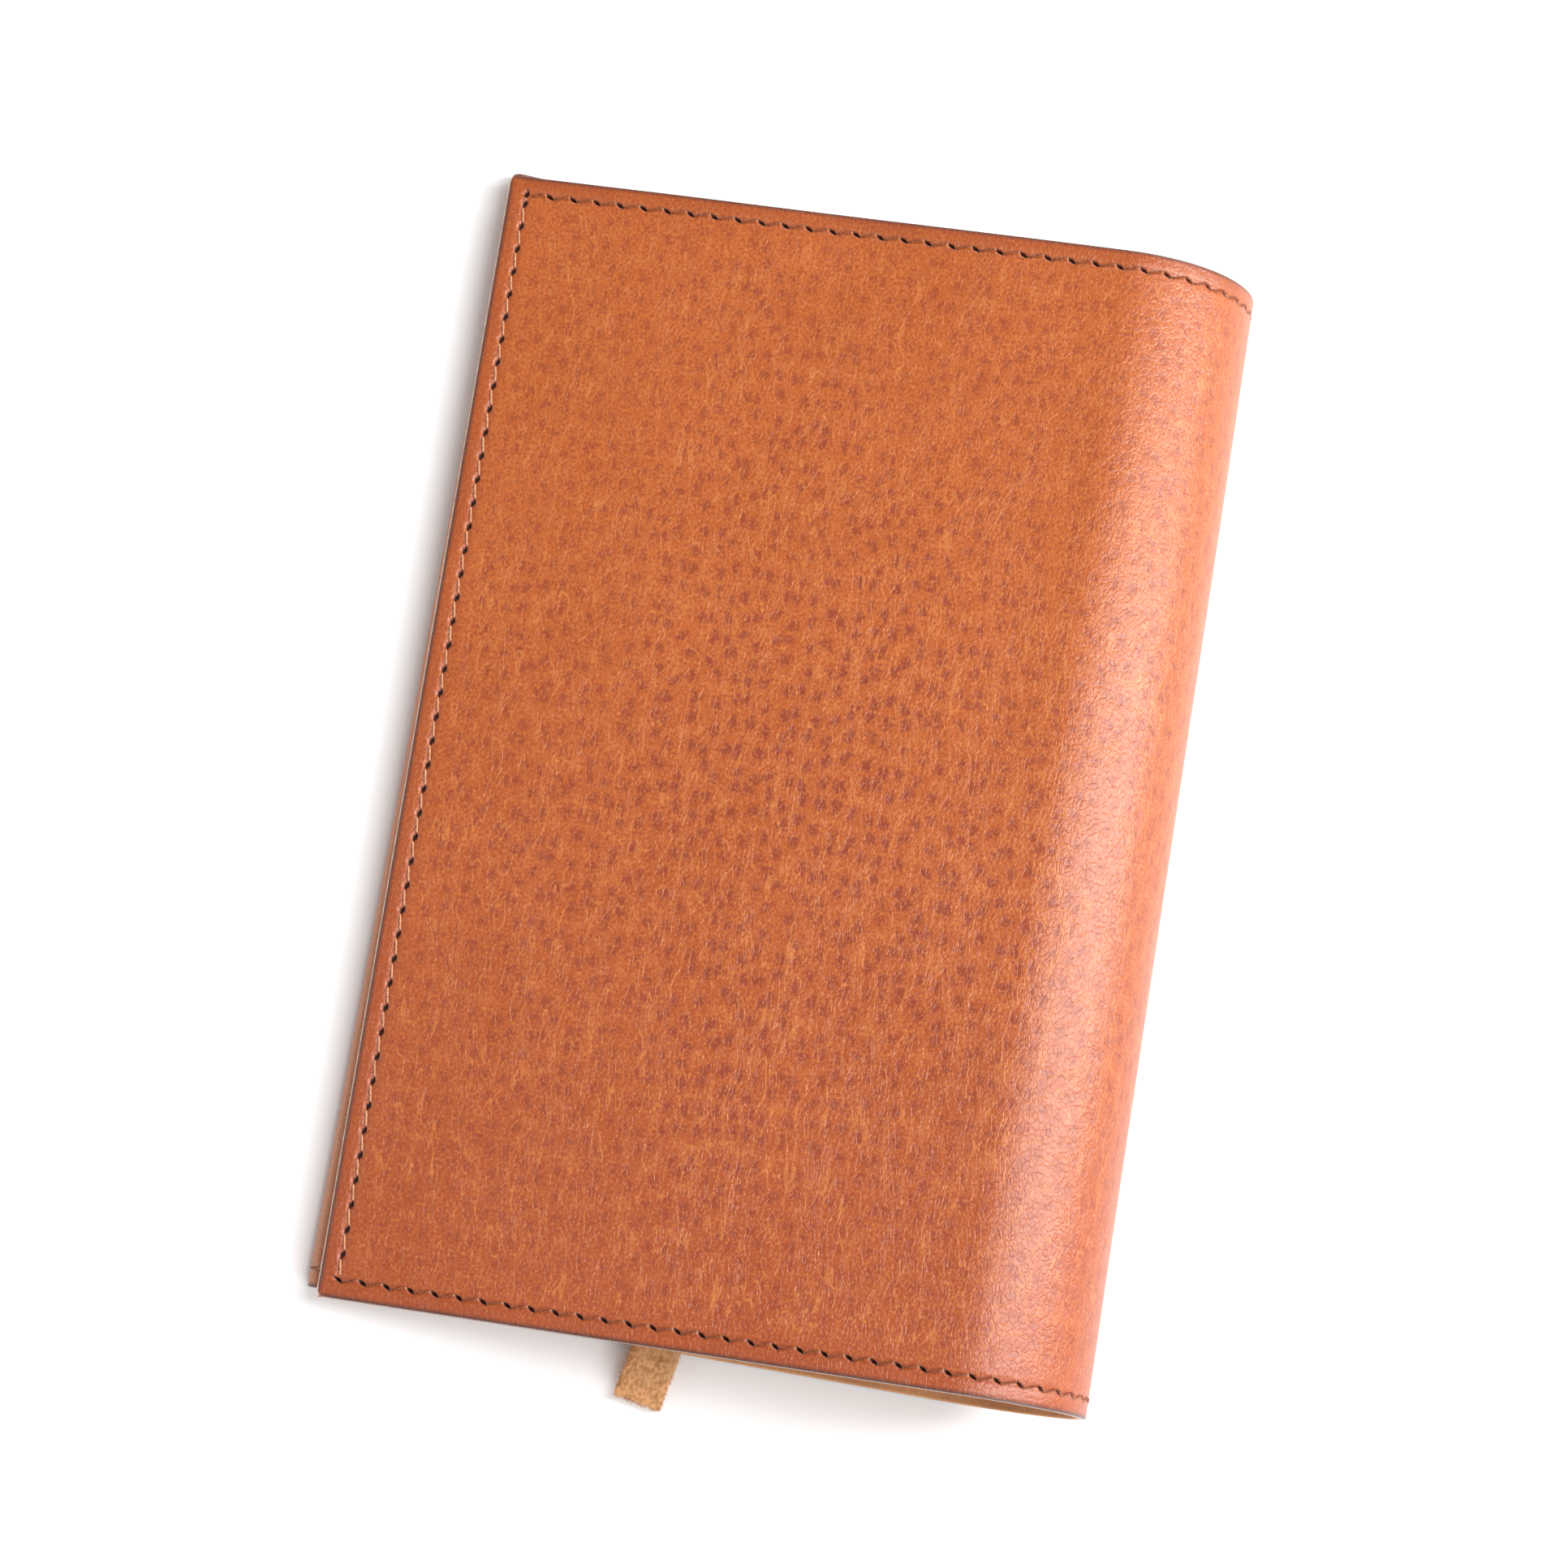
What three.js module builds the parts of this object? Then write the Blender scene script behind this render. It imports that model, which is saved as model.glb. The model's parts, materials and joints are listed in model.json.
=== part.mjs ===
// Leather notebook cover, closed and empty, lying on its front cover.
// Millimetres, +Z up. +X runs from the fore edge to the spine, +Y from tail to head.
// The origin is the middle of the front cover's flat underside.
import * as THREE from "three";

// Driving dimensions: an A5 notebook (148 x 210) goes in, with 5 mm to spare at head and tail.
const HEIGHT = 220;
const FRONT_WIDTH = 121.8; // from the folded fore edge to where the spine starts to bend
const BACK_WIDTH = 120.4; // from the spine to the cut fore edge
const SPINE_RADIUS = 24; // outer face of the spine when closed
const LEATHER = 1.5;
const LINING = 0.4;
const SLEEVE = 1.1;
const LAYER_GAP = 0.15; // between layers that lie on each other
const POCKET_GAP = 0.4; // room for a notebook's cover under the turn-in
const POCKET_WIDTH = 58;
const REST_GAP = 0.5; // under the back cover's fore edge when closed
const FOLD_SKEW = THREE.MathUtils.degToRad(0.3); // the fold runs a little off square

// Saddle stitching.
const STITCH_MARGIN = 3.55;
const GROOVE_DEPTH = 0.5;
const GROOVE_HALF = 0.5;
const GROOVE_FLOOR_HALF = 0.4;
const THREAD_HALF = 0.3;
const THREAD_TOP = 0.08; // below the face of the leather
const THREAD_HEIGHT = 0.35;

// The leather bends like a book's spine: six hinge lines across the bend share the turn.
const HINGES = 6;
const HINGE_GAP = 0.3;
const FACETS = 4; // over the stretch between two hinge lines

// Bookmark strap, sewn to the front lining near the head and lying out past the tail.
const STRAP_WIDTH = 9.5;
const STRAP_THICKNESS = 1.2;
const STRAP_TACK = new THREE.Vector2(45.7, 101.5);
const STRAP_LEAN = THREE.MathUtils.degToRad(10.6);
const STRAP_ABOVE_TACK = 2.5;
const STRAP_BELOW_TACK = 225.3;
const STRAP_CLEARANCE = 0.3;
const TACK_THREAD = 0.45;
const TACK_SIDE_GAP = 0.4;

// Worked out from the dimensions above.
const LINING_TOP = LEATHER + LAYER_GAP + LINING;
const FRONT_STACK = LINING_TOP + POCKET_GAP + LEATHER;
const BACK_STACK = LINING_TOP + LAYER_GAP + SLEEVE;
const FOLD_RADIUS = FRONT_STACK / 2;
const SPINE_X = FRONT_WIDTH / 2;
const SLOPE = closingSlope();
const TURN = Math.PI + SLOPE;
const SPINE_LENGTH = SPINE_RADIUS * TURN;
const HINGE_TURN = TURN / HINGES;
const BACK_END = SPINE_LENGTH + BACK_WIDTH;
const FLAT_END = -(FRONT_WIDTH - FOLD_RADIUS);
const SKEW = Math.tan(FOLD_SKEW);

// Slope of the back cover when its fore edge rests just above the turn-in: the inner face of the
// back stands at radius * cos(slope) - width * sin(slope) above the spine's centre line.
function closingSlope() {
  const radius = SPINE_RADIUS - BACK_STACK;
  const drop = FRONT_STACK + REST_GAP - SPINE_RADIUS;
  const reach = Math.hypot(radius, BACK_WIDTH);
  return Math.acos(drop / reach) - Math.atan2(BACK_WIDTH, radius);
}

// Places a point of the leather. s runs along the outer face from the start of the spine's bend:
// negative over the front cover and round the fold into the turn-in, positive over the spine and
// the back cover. v runs from tail to head and depth goes into the leather from the outer face.
function place(s, v, depth) {
  const point = new THREE.Vector3();
  const folded = s - v * SKEW;
  let run = s;
  if (folded < FLAT_END) {
    const centre = SPINE_X + FLAT_END + v * SKEW;
    const turned = Math.min((FLAT_END - folded) / FOLD_RADIUS, Math.PI);
    const back = FLAT_END - folded - turned * FOLD_RADIUS;
    const radius = FOLD_RADIUS - depth;
    point.x = centre - radius * Math.sin(turned) + back;
    point.z = FOLD_RADIUS - radius * Math.cos(turned);
    run = point.x - SPINE_X;
  } else {
    const turned = THREE.MathUtils.clamp(s / SPINE_RADIUS, 0, TURN);
    const straight = s - turned * SPINE_RADIUS;
    const radius = SPINE_RADIUS - depth;
    point.x = SPINE_X + radius * Math.sin(turned) + straight * Math.cos(turned);
    point.z = SPINE_RADIUS - radius * Math.cos(turned) + straight * Math.sin(turned);
  }
  point.y = (SPINE_LENGTH / 2 - run) * SKEW + v / Math.cos(FOLD_SKEW);
  return point;
}

// A line across the leather: square to the fold, or parallel to the leather's own edges.
const acrossSpine = (s) => ({ s, skewed: false });
const alongEdge = (s) => ({ s, skewed: true });

// A closed layer of leather: a box with one vertex for each pair of lines, moved into place.
// outer and inner give the depths of its two faces at line i and height j.
function layer(lines, heights, outer, inner) {
  const geometry = new THREE.BoxGeometry(1, 1, 1, lines.length - 1, heights.length - 1, 1);
  const position = geometry.getAttribute("position");
  for (let k = 0; k < position.count; k++) {
    const i = Math.round((position.getX(k) + 0.5) * (lines.length - 1));
    const j = Math.round((position.getY(k) + 0.5) * (heights.length - 1));
    const v = heights[j];
    const s = lines[i].s + (lines[i].skewed ? v * SKEW : 0);
    const depth = position.getZ(k) < 0 ? outer(i, j) : inner(i, j);
    position.setXYZ(k, ...place(s, v, depth));
  }
  geometry.computeVertexNormals();
  return geometry;
}

// The two lips and the floor of a stitching groove at the given place.
function grooveAt(centre) {
  return [
    centre - GROOVE_HALF,
    centre - GROOVE_FLOOR_HALF,
    centre + GROOVE_FLOOR_HALF,
    centre + GROOVE_HALF,
  ];
}

const EDGE = HEIGHT / 2;
const SEAM = EDGE - STITCH_MARGIN;
const PLAIN_HEIGHTS = [-EDGE, EDGE];
const GROOVED_HEIGHTS = [-EDGE, ...grooveAt(-SEAM), ...grooveAt(SEAM), EDGE];
const SEAM_FLOORS = [2, 3, 6, 7]; // the heights above that lie on a groove's floor

// Depth of a face with stitching grooves: sunk is GROOVE_DEPTH for the outer face and
// -GROOVE_DEPTH for the inner one. foreEdgeLine is the first lip of a groove along the fore edge.
function grooved(face, sunk, foreEdgeLine = Infinity) {
  return (i, j) => {
    const inSeam = SEAM_FLOORS.includes(j) && i <= foreEdgeLine + 2;
    const inFore = i > foreEdgeLine && i < foreEdgeLine + 3 && j >= 2 && j <= 7;
    return inSeam || inFore ? face + sunk : face;
  };
}

const flat = (depth) => () => depth;

// Lines across the spine's bend between two hinge positions, counted in hinge spacings.
function bendLines(from, to) {
  const lines = [];
  const count = Math.round((to - from) * FACETS);
  const start = from * HINGE_TURN * SPINE_RADIUS + (from > 0 ? HINGE_GAP / 2 : 0);
  const end = to * HINGE_TURN * SPINE_RADIUS - (to < HINGES ? HINGE_GAP / 2 : 0);
  for (let i = 0; i <= count; i++) {
    lines.push(acrossSpine(THREE.MathUtils.lerp(start, end, i / count)));
  }
  return lines;
}

// A straight or bent bar of thread along the head or tail seam.
function seamThread(lines, side, top) {
  const heights = [side * SEAM - THREAD_HALF, side * SEAM + THREAD_HALF];
  return layer(lines, heights, flat(top), flat(top + THREAD_HEIGHT));
}

const materials = {
  leather: new THREE.MeshStandardMaterial({ color: 0xb4653a, roughness: 0.5 }),
  lining: new THREE.MeshStandardMaterial({ color: 0xa8764c, roughness: 0.85 }),
  thread: new THREE.MeshStandardMaterial({ color: 0xdda05f, roughness: 0.6 }),
  suede: new THREE.MeshStandardMaterial({ color: 0xc29a6a, roughness: 0.95 }),
};

const cover = new THREE.Group();

function add(name, geometry, material) {
  const mesh = new THREE.Mesh(geometry, material.clone());
  mesh.name = name;
  cover.add(mesh);
  return mesh;
}

const SIDES = [
  ["head", 1],
  ["tail", -1],
];
const ON_LINING = LINING_TOP + LAYER_GAP / 1.5;
const frontBend = bendLines(0, 0.5);
const backBend = bendLines(HINGES - 0.5, HINGES);

// Front cover: one piece of leather, folded back over itself at the fore edge as a pocket.
const foldLength = Math.PI * FOLD_RADIUS;
const foldLines = [0, 1, 2, 3, 4, 5, 6].map((i) => alongEdge(FLAT_END - foldLength * (1 - i / 6)));
const turnInEnd = alongEdge(FLAT_END - foldLength - POCKET_WIDTH);
const pocketLine = alongEdge(FLAT_END - foldLength);
const flatLine = alongEdge(FLAT_END);
add(
  "front_outer_leather",
  layer([turnInEnd, ...foldLines, ...frontBend], GROOVED_HEIGHTS, grooved(0, GROOVE_DEPTH), flat(LEATHER)),
  materials.leather,
);
add(
  "front_lining",
  layer([flatLine, ...frontBend], PLAIN_HEIGHTS, flat(LEATHER + LAYER_GAP), flat(LINING_TOP)),
  materials.lining,
);
const besidePocket = alongEdge(FLAT_END + POCKET_WIDTH + LAYER_GAP * 2);
for (const [end, side] of SIDES) {
  add(
    `front_${end}_needle_thread`,
    seamThread([flatLine, ...frontBend], side, THREAD_TOP),
    materials.thread,
  );
  add(
    `front_pocket_${end}_thread`,
    seamThread([turnInEnd, pocketLine], side, THREAD_TOP),
    materials.thread,
  );
  add(
    `front_${end}_inside_thread`,
    seamThread([besidePocket, ...frontBend], side, ON_LINING),
    materials.thread,
  );
}

// Spine: the same leather and lining, in the stretches between the hinge lines.
const SPINE_PLACES = [
  "spine_front_shoulder",
  "spine_front",
  "spine_middle",
  "spine_back",
  "spine_back_shoulder",
];
SPINE_PLACES.forEach((name, k) => {
  const lines = bendLines(k + 0.5, k + 1.5);
  add(
    `${name}_outer_leather`,
    layer(lines, GROOVED_HEIGHTS, grooved(0, GROOVE_DEPTH), flat(LEATHER)),
    materials.leather,
  );
  add(
    `${name}_lining`,
    layer(lines, PLAIN_HEIGHTS, flat(LEATHER + LAYER_GAP), flat(LINING_TOP)),
    materials.lining,
  );
  for (const [end, side] of SIDES) {
    add(`${name}_${end}_needle_thread`, seamThread(lines, side, THREAD_TOP), materials.thread);
    add(`${name}_${end}_inside_thread`, seamThread(lines, side, ON_LINING), materials.thread);
  }
});

// Back cover: cut fore edge, with a separate sleeve stitched on three sides.
const foreGroove = grooveAt(BACK_END - STITCH_MARGIN).map(alongEdge);
const foreEdge = alongEdge(BACK_END);
const sleeveLine = alongEdge(BACK_END - POCKET_WIDTH);
const sleeveInside = BACK_STACK - THREAD_TOP - THREAD_HEIGHT;
add(
  "back_outer_leather",
  layer(
    [...backBend, ...foreGroove, foreEdge],
    GROOVED_HEIGHTS,
    grooved(0, GROOVE_DEPTH, backBend.length),
    flat(LEATHER),
  ),
  materials.leather,
);
add(
  "back_lining",
  layer([...backBend, foreEdge], PLAIN_HEIGHTS, flat(LEATHER + LAYER_GAP), flat(LINING_TOP)),
  materials.lining,
);
add(
  "back_sleeve",
  layer(
    [sleeveLine, ...foreGroove, foreEdge],
    GROOVED_HEIGHTS,
    flat(LINING_TOP + LAYER_GAP),
    grooved(BACK_STACK, -GROOVE_DEPTH, 1),
  ),
  materials.leather,
);
const foreSeam = BACK_END - STITCH_MARGIN;
const seamEnd = alongEdge(foreSeam - GROOVE_HALF);
const besideSleeve = alongEdge(BACK_END - POCKET_WIDTH - LAYER_GAP * 2);
for (const [end, side] of SIDES) {
  add(
    `back_${end}_needle_thread`,
    seamThread([...backBend, seamEnd], side, THREAD_TOP),
    materials.thread,
  );
  add(
    `back_sleeve_${end}_thread`,
    seamThread([sleeveLine, seamEnd], side, sleeveInside),
    materials.thread,
  );
  add(
    `back_${end}_inside_thread`,
    seamThread([...backBend, besideSleeve], side, ON_LINING),
    materials.thread,
  );
}
const foreThreadLines = [alongEdge(foreSeam - THREAD_HALF), alongEdge(foreSeam + THREAD_HALF)];
const foreThreadHeights = [-SEAM - THREAD_HALF, SEAM + THREAD_HALF];
for (const [name, top] of [
  ["back_fore_edge_needle_thread", THREAD_TOP],
  ["back_sleeve_fore_edge_thread", sleeveInside],
]) {
  add(
    name,
    layer(foreThreadLines, foreThreadHeights, flat(top), flat(top + THREAD_HEIGHT)),
    materials.thread,
  );
}

// Bookmark: a strap that lies over the tail seam, and the tack that sews it to the front lining.
const strapLength = STRAP_ABOVE_TACK + STRAP_BELOW_TACK;
const strapBottom = ON_LINING + THREAD_HEIGHT + STRAP_CLEARANCE;
const strap = add(
  "bookmark_strap",
  new THREE.BoxGeometry(STRAP_WIDTH, strapLength, STRAP_THICKNESS).translate(
    0,
    (STRAP_ABOVE_TACK - STRAP_BELOW_TACK) / 2,
    STRAP_THICKNESS / 2,
  ),
  materials.suede,
);
strap.position.set(STRAP_TACK.x, STRAP_TACK.y, strapBottom);
strap.rotation.z = -STRAP_LEAN;

const tackInner = STRAP_WIDTH / 2 + TACK_SIDE_GAP;
const tackOuter = tackInner + TACK_THREAD;
const tackUnder = strapBottom + STRAP_THICKNESS + STRAP_CLEARANCE;
const tackOutline = new THREE.Shape([
  new THREE.Vector2(-tackOuter, ON_LINING),
  new THREE.Vector2(-tackInner, ON_LINING),
  new THREE.Vector2(-tackInner, tackUnder),
  new THREE.Vector2(tackInner, tackUnder),
  new THREE.Vector2(tackInner, ON_LINING),
  new THREE.Vector2(tackOuter, ON_LINING),
  new THREE.Vector2(tackOuter, tackUnder + TACK_THREAD),
  new THREE.Vector2(-tackOuter, tackUnder + TACK_THREAD),
]);
const tack = add(
  "bookmark_tack_stitch",
  new THREE.ExtrudeGeometry(tackOutline, { depth: TACK_THREAD, bevelEnabled: false })
    .translate(0, 0, -TACK_THREAD / 2)
    .rotateX(Math.PI / 2),
  materials.thread,
);
tack.position.set(STRAP_TACK.x, STRAP_TACK.y, 0);
tack.rotation.z = -STRAP_LEAN;

export default cover;
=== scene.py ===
# %% [markdown]
# # A leather notebook cover
# The cover is one long rectangle of vegetable-tanned leather, folded over itself at the front
# cover's fore edge, lined, and bent round at the spine. A sleeve is stitched inside the back cover,
# and a bookmark strap is sewn in near the head. It lies closed and empty on its front cover, so the
# back cover slopes down from the round of the spine to the fore edge.
#
# Everything below is made from one idea: the cover is flat leather that has been bent. Each
# surface is worked out on the flat pattern, with s across it and v up it, and then wrapped.

# %% The frame
import json
import math

import bpy
import numpy as np
from mathutils import Matrix, Vector


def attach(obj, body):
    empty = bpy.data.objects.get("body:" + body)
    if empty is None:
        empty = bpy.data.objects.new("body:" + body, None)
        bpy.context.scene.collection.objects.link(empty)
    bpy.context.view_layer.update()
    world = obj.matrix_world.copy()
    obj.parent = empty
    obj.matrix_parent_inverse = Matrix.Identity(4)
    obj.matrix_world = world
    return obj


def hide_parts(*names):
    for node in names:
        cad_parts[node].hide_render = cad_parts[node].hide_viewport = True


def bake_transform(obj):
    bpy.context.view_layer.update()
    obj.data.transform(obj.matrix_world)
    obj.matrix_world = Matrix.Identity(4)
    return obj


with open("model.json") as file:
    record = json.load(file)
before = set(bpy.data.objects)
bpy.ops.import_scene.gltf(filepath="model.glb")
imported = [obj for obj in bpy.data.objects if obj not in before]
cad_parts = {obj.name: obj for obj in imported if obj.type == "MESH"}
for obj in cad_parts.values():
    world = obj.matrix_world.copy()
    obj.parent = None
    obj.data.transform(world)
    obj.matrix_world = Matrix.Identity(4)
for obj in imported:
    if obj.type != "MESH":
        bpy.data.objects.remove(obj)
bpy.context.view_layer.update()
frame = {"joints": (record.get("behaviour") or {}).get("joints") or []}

# %% [markdown]
# ## The flat pattern
# A leatherworker cuts the pattern flat, so the sizes that matter are flat ones. They are in
# millimetres. The closing slope follows from them: the back cover drops until the inside of its
# fore edge stands just over the folded pocket.

# %% Sizes of the pattern
HEIGHT = 220.0
FRONT_WIDTH = 121.8
BACK_WIDTH = 120.4
SPINE_RADIUS = 24.0
LINING_FACE = 2.05  # depth of the lining's seen face below the outer face
BACK_STACK = 3.3  # outer leather, lining and sleeve together
FOLD_RADIUS = 1.975
POCKET_WIDTH = 58.0
REST_GAP = 0.5
SKEW = math.tan(math.radians(0.3))  # the fold runs a little off square

SPINE_X = FRONT_WIDTH / 2
drop = 2 * FOLD_RADIUS + REST_GAP - SPINE_RADIUS
inner_radius = SPINE_RADIUS - BACK_STACK
SLOPE = math.acos(drop / math.hypot(inner_radius, BACK_WIDTH)) - math.atan2(BACK_WIDTH, inner_radius)
TURN = math.pi + SLOPE
SPINE_LENGTH = SPINE_RADIUS * TURN
BACK_END = SPINE_LENGTH + BACK_WIDTH
FLAT_END = FOLD_RADIUS - FRONT_WIDTH
FOLD_LENGTH = math.pi * FOLD_RADIUS
EDGE = HEIGHT / 2
HINGES = sum(joint["axis"][1] > 0.5 for joint in frame["joints"])
HINGE_LENGTH = SPINE_LENGTH / HINGES
print(f"slope {math.degrees(SLOPE):.1f} degrees, flat width {FRONT_WIDTH + BACK_END:.1f} mm")

# %% [markdown]
# ## Bending flat leather
# `wrap` takes a place on the pattern and a depth into the leather and gives the place in the closed
# cover. Over the front cover the leather is flat. From s = 0 it runs round the spine on a circle, and
# then on in a straight line down the back cover. Past the front fore edge it turns on a small half
# circle and comes back as the pocket. An alternative would be to model the flat sheet and bend it
# with modifiers, but a formula keeps every layer, hole and thread exactly on its neighbour.

# %% Wrap
def wrap(s, v, depth):
    """Flat place (s across, v up, both in mm) and depth in mm to metres in the closed cover.
    The turned angle is s / radius, held between 0 and the whole turn; what is left of s is straight."""
    s, v, depth = np.broadcast_arrays(*(np.asarray(a, float) for a in (s, v, depth)))
    lean = np.where(s < 0, np.clip(s / FLAT_END, 0, 1), np.clip((s - SPINE_LENGTH) / BACK_WIDTH, 0, 1))
    along = s + v * SKEW * lean
    turned = np.clip(along / SPINE_RADIUS, 0, TURN)
    straight = along - turned * SPINE_RADIUS
    radius = SPINE_RADIUS - depth
    x = SPINE_X + radius * np.sin(turned) + straight * np.cos(turned)
    z = SPINE_RADIUS - radius * np.cos(turned) + straight * np.sin(turned)
    folded = s < FLAT_END
    fold_turn = np.clip((FLAT_END - s) / FOLD_RADIUS, 0, math.pi)
    back = FLAT_END - s - fold_turn * FOLD_RADIUS
    fold_radius = FOLD_RADIUS - depth
    fold_x = SPINE_X + FLAT_END + v * SKEW - fold_radius * np.sin(fold_turn) + back
    x = np.where(folded, fold_x, x)
    z = np.where(folded, FOLD_RADIUS - fold_radius * np.cos(fold_turn), z)
    run = np.where(folded, x - SPINE_X, along)
    y = (SPINE_LENGTH / 2 - run) * SKEW + v * math.sqrt(1 + SKEW**2)
    return np.stack([x, y, z], -1) / 1000


def mirror_in_fold(s):
    """The place in the pocket that lies over place s of the front cover."""
    return 2 * FLAT_END - FOLD_LENGTH - s


print("fore edge of the back cover at", wrap(BACK_END, 0, 0).round(4))

# %% [markdown]
# ## Hide
# No hide is even. Vegetable-tanned leather that has been tumbled shows soft pebbles, each a shallow
# dimple with a raised crease round it, longer along the back of the animal than across. They come
# up in some places and stay flat in others. Near the spine the leather is drawn into long fine
# wrinkles. They could be painted on as a bump, but then the edges of the light would stay dead
# straight, so they are raised in the surface. Their colour is drawn later, in the material.

# %% Noise and cells
def smooth_noise(x, y, seed):
    """Random values on a unit grid, blended between its corners by a smooth step. From -1 to 1."""
    table = np.random.default_rng(seed).uniform(-1, 1, (128, 128))
    column, row = np.floor(x).astype(int), np.floor(y).astype(int)
    a, b = x - column, y - row
    a, b = a * a * (3 - 2 * a), b * b * (3 - 2 * b)
    corner = lambda i, j: table[(column + i) % 128, (row + j) % 128]
    low = corner(0, 0) * (1 - a) + corner(1, 0) * a
    high = corner(0, 1) * (1 - a) + corner(1, 1) * a
    return low * (1 - b) + high * b


def cells(x, y, seed):
    """Distances to the nearest and the second nearest of one jittered point in each unit square."""
    jitter = np.random.default_rng(seed).uniform(0.12, 0.88, (2, 128, 128))
    column, row = np.floor(x).astype(int), np.floor(y).astype(int)
    nearest = np.full(np.shape(x), 9.0)
    second = nearest.copy()
    for i in (-1, 0, 1):
        for j in (-1, 0, 1):
            c, r = (column + i) % 128, (row + j) % 128
            distance = np.hypot(column + i + jitter[0, c, r] - x, row + j + jitter[1, c, r] - y)
            second = np.minimum(second, np.maximum(nearest, distance))
            nearest = np.minimum(nearest, distance)
    return nearest, second


def smooth_step(x, low, high):
    """0 up to low and 1 from high on, and between them 3 t^2 - 2 t^3, where t is the share of the way."""
    t = np.clip((x - low) / (high - low), 0, 1)
    return t * t * (3 - 2 * t)


# %% Grain of the hide
PEBBLE = (3.1, 4.8)  # mm across and up
PEBBLE_DEPTH = 0.07
WRINKLE = (2.3, 26.0)
WRINKLE_HEIGHT = 0.05
PEBBLED_PLACE = (BACK_END - 78.0, -22.0)  # where the pebbles are strongest
PEBBLED_REACH = (66.0, 82.0)
WRINKLED_PLACE = SPINE_LENGTH + 6.0
WRINKLED_REACH = 22.0


def grain(s, v):
    """Height of the hide in mm. Creases rise where the nearest and second nearest cell are as near as
    each other, dimples sink at the middle of a cell, and wrinkles rise where a noise passes 0."""
    x = s / PEBBLE[0] + 0.75 * smooth_noise(s / 9, v / 15, 1)
    y = v / PEBBLE[1] + 0.75 * smooth_noise(s / 9, v / 15, 2)
    nearest, second = cells(x, y, 3)
    crease = 1 - smooth_step(second - nearest, 0.0, 0.34)
    dimple = 1 - smooth_step(nearest, 0.08, 0.62)
    across = (s - PEBBLED_PLACE[0]) / PEBBLED_REACH[0]
    up = (v - PEBBLED_PLACE[1]) / PEBBLED_REACH[1]
    patch = 0.22 + 0.78 * np.exp(-(across**2) - up**2)
    patch = patch * (0.75 + 0.5 * smooth_noise(s / 21, v / 27, 4))
    lines = smooth_noise(s / WRINKLE[0] + 1.3 * smooth_noise(s / 14, v / 34, 5), v / WRINKLE[1], 6)
    wrinkle = 1 - smooth_step(np.abs(lines), 0.0, 0.2)
    drawn = np.exp(-(((s - WRINKLED_PLACE) / WRINKLED_REACH) ** 2))
    drawn = drawn * (0.55 + 0.45 * smooth_noise(s / 18, v / 30, 7)) * smooth_step(70 - v, 0, 60)
    return patch * (0.35 * crease - 0.65 * dimple) * PEBBLE_DEPTH + drawn * wrinkle * WRINKLE_HEIGHT


WAVE = 0.45  # mm, how far the leather bows out over the back cover and spine


def bow(s, v):
    """Slow swell of the bent leather, shared by every layer: none on the front cover, which lies on
    the table, and none at the back's fore edge, which lies on the pocket."""
    free = smooth_step(s, 10, 60) * smooth_step(BACK_END - s, 0, 45)
    return -WAVE * free * (0.5 + 0.5 * smooth_noise(s / 38 + 0.3, v / 62, 8))


heights = grain(SPINE_LENGTH + 40, np.linspace(-100, 100, 200))
print(f"hide heights from {heights.min():.3f} to {heights.max():.3f} mm")

# %% [markdown]
# ## Stitching
# The layers are held by saddle stitching. A slanted pricking iron marks the holes at an even pitch
# in a groove that lets the thread sink in, and an awl opens them to narrow slits. Each slit is a
# pit with a slightly raised lip. The same places serve the outer face, the folded pocket and the
# inside, because one hole goes through them all.

# %% Where the holes are
MARGIN = 3.55
SEAM = EDGE - MARGIN
PITCH = 4.633
HOLES = 70
SLIT = (1.0, 0.33)  # half length and half width in mm
SLIT_DEPTH = 1.1
GROOVE = 0.26  # depth in mm
GROOVE_WIDTH = 0.42  # mm from its middle to where the bell has fallen to 0.6
END_SLANT = (math.cos(math.radians(32)), math.sin(math.radians(32)))  # across and up the pattern
FORE_SLANT = (-math.sin(math.radians(18)), math.cos(math.radians(18)))

EVEN, EVEN_PITCH = 38, 4.706  # stitches of the fore edge from the tail up
FITTED = 7  # stitches with the pitch that fills what is left
LAST_PITCH = 1.9  # one short stitch at the head

end_holes = BACK_END - MARGIN - PITCH * np.arange(HOLES)
fitted_pitch = (2 * SEAM - EVEN * EVEN_PITCH - LAST_PITCH) / FITTED
fore_pitches = [0.0] + [EVEN_PITCH] * EVEN + [fitted_pitch] * FITTED + [LAST_PITCH]
fore_holes = -SEAM + np.cumsum(fore_pitches)
FORE_SEAM = BACK_END - MARGIN
print(f"{2 * HOLES} holes along the ends and {len(fore_holes)} along the fore edge")


# %% Grooves and slits
def slit(across, up, slant):
    """1 at the middle of a slanted slit, 0 at its edge and below 0 outside it."""
    length = across * slant[0] + up * slant[1]
    width = up * slant[0] - across * slant[1]
    return 1 - np.hypot(length / SLIT[0], width / SLIT[1])


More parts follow.
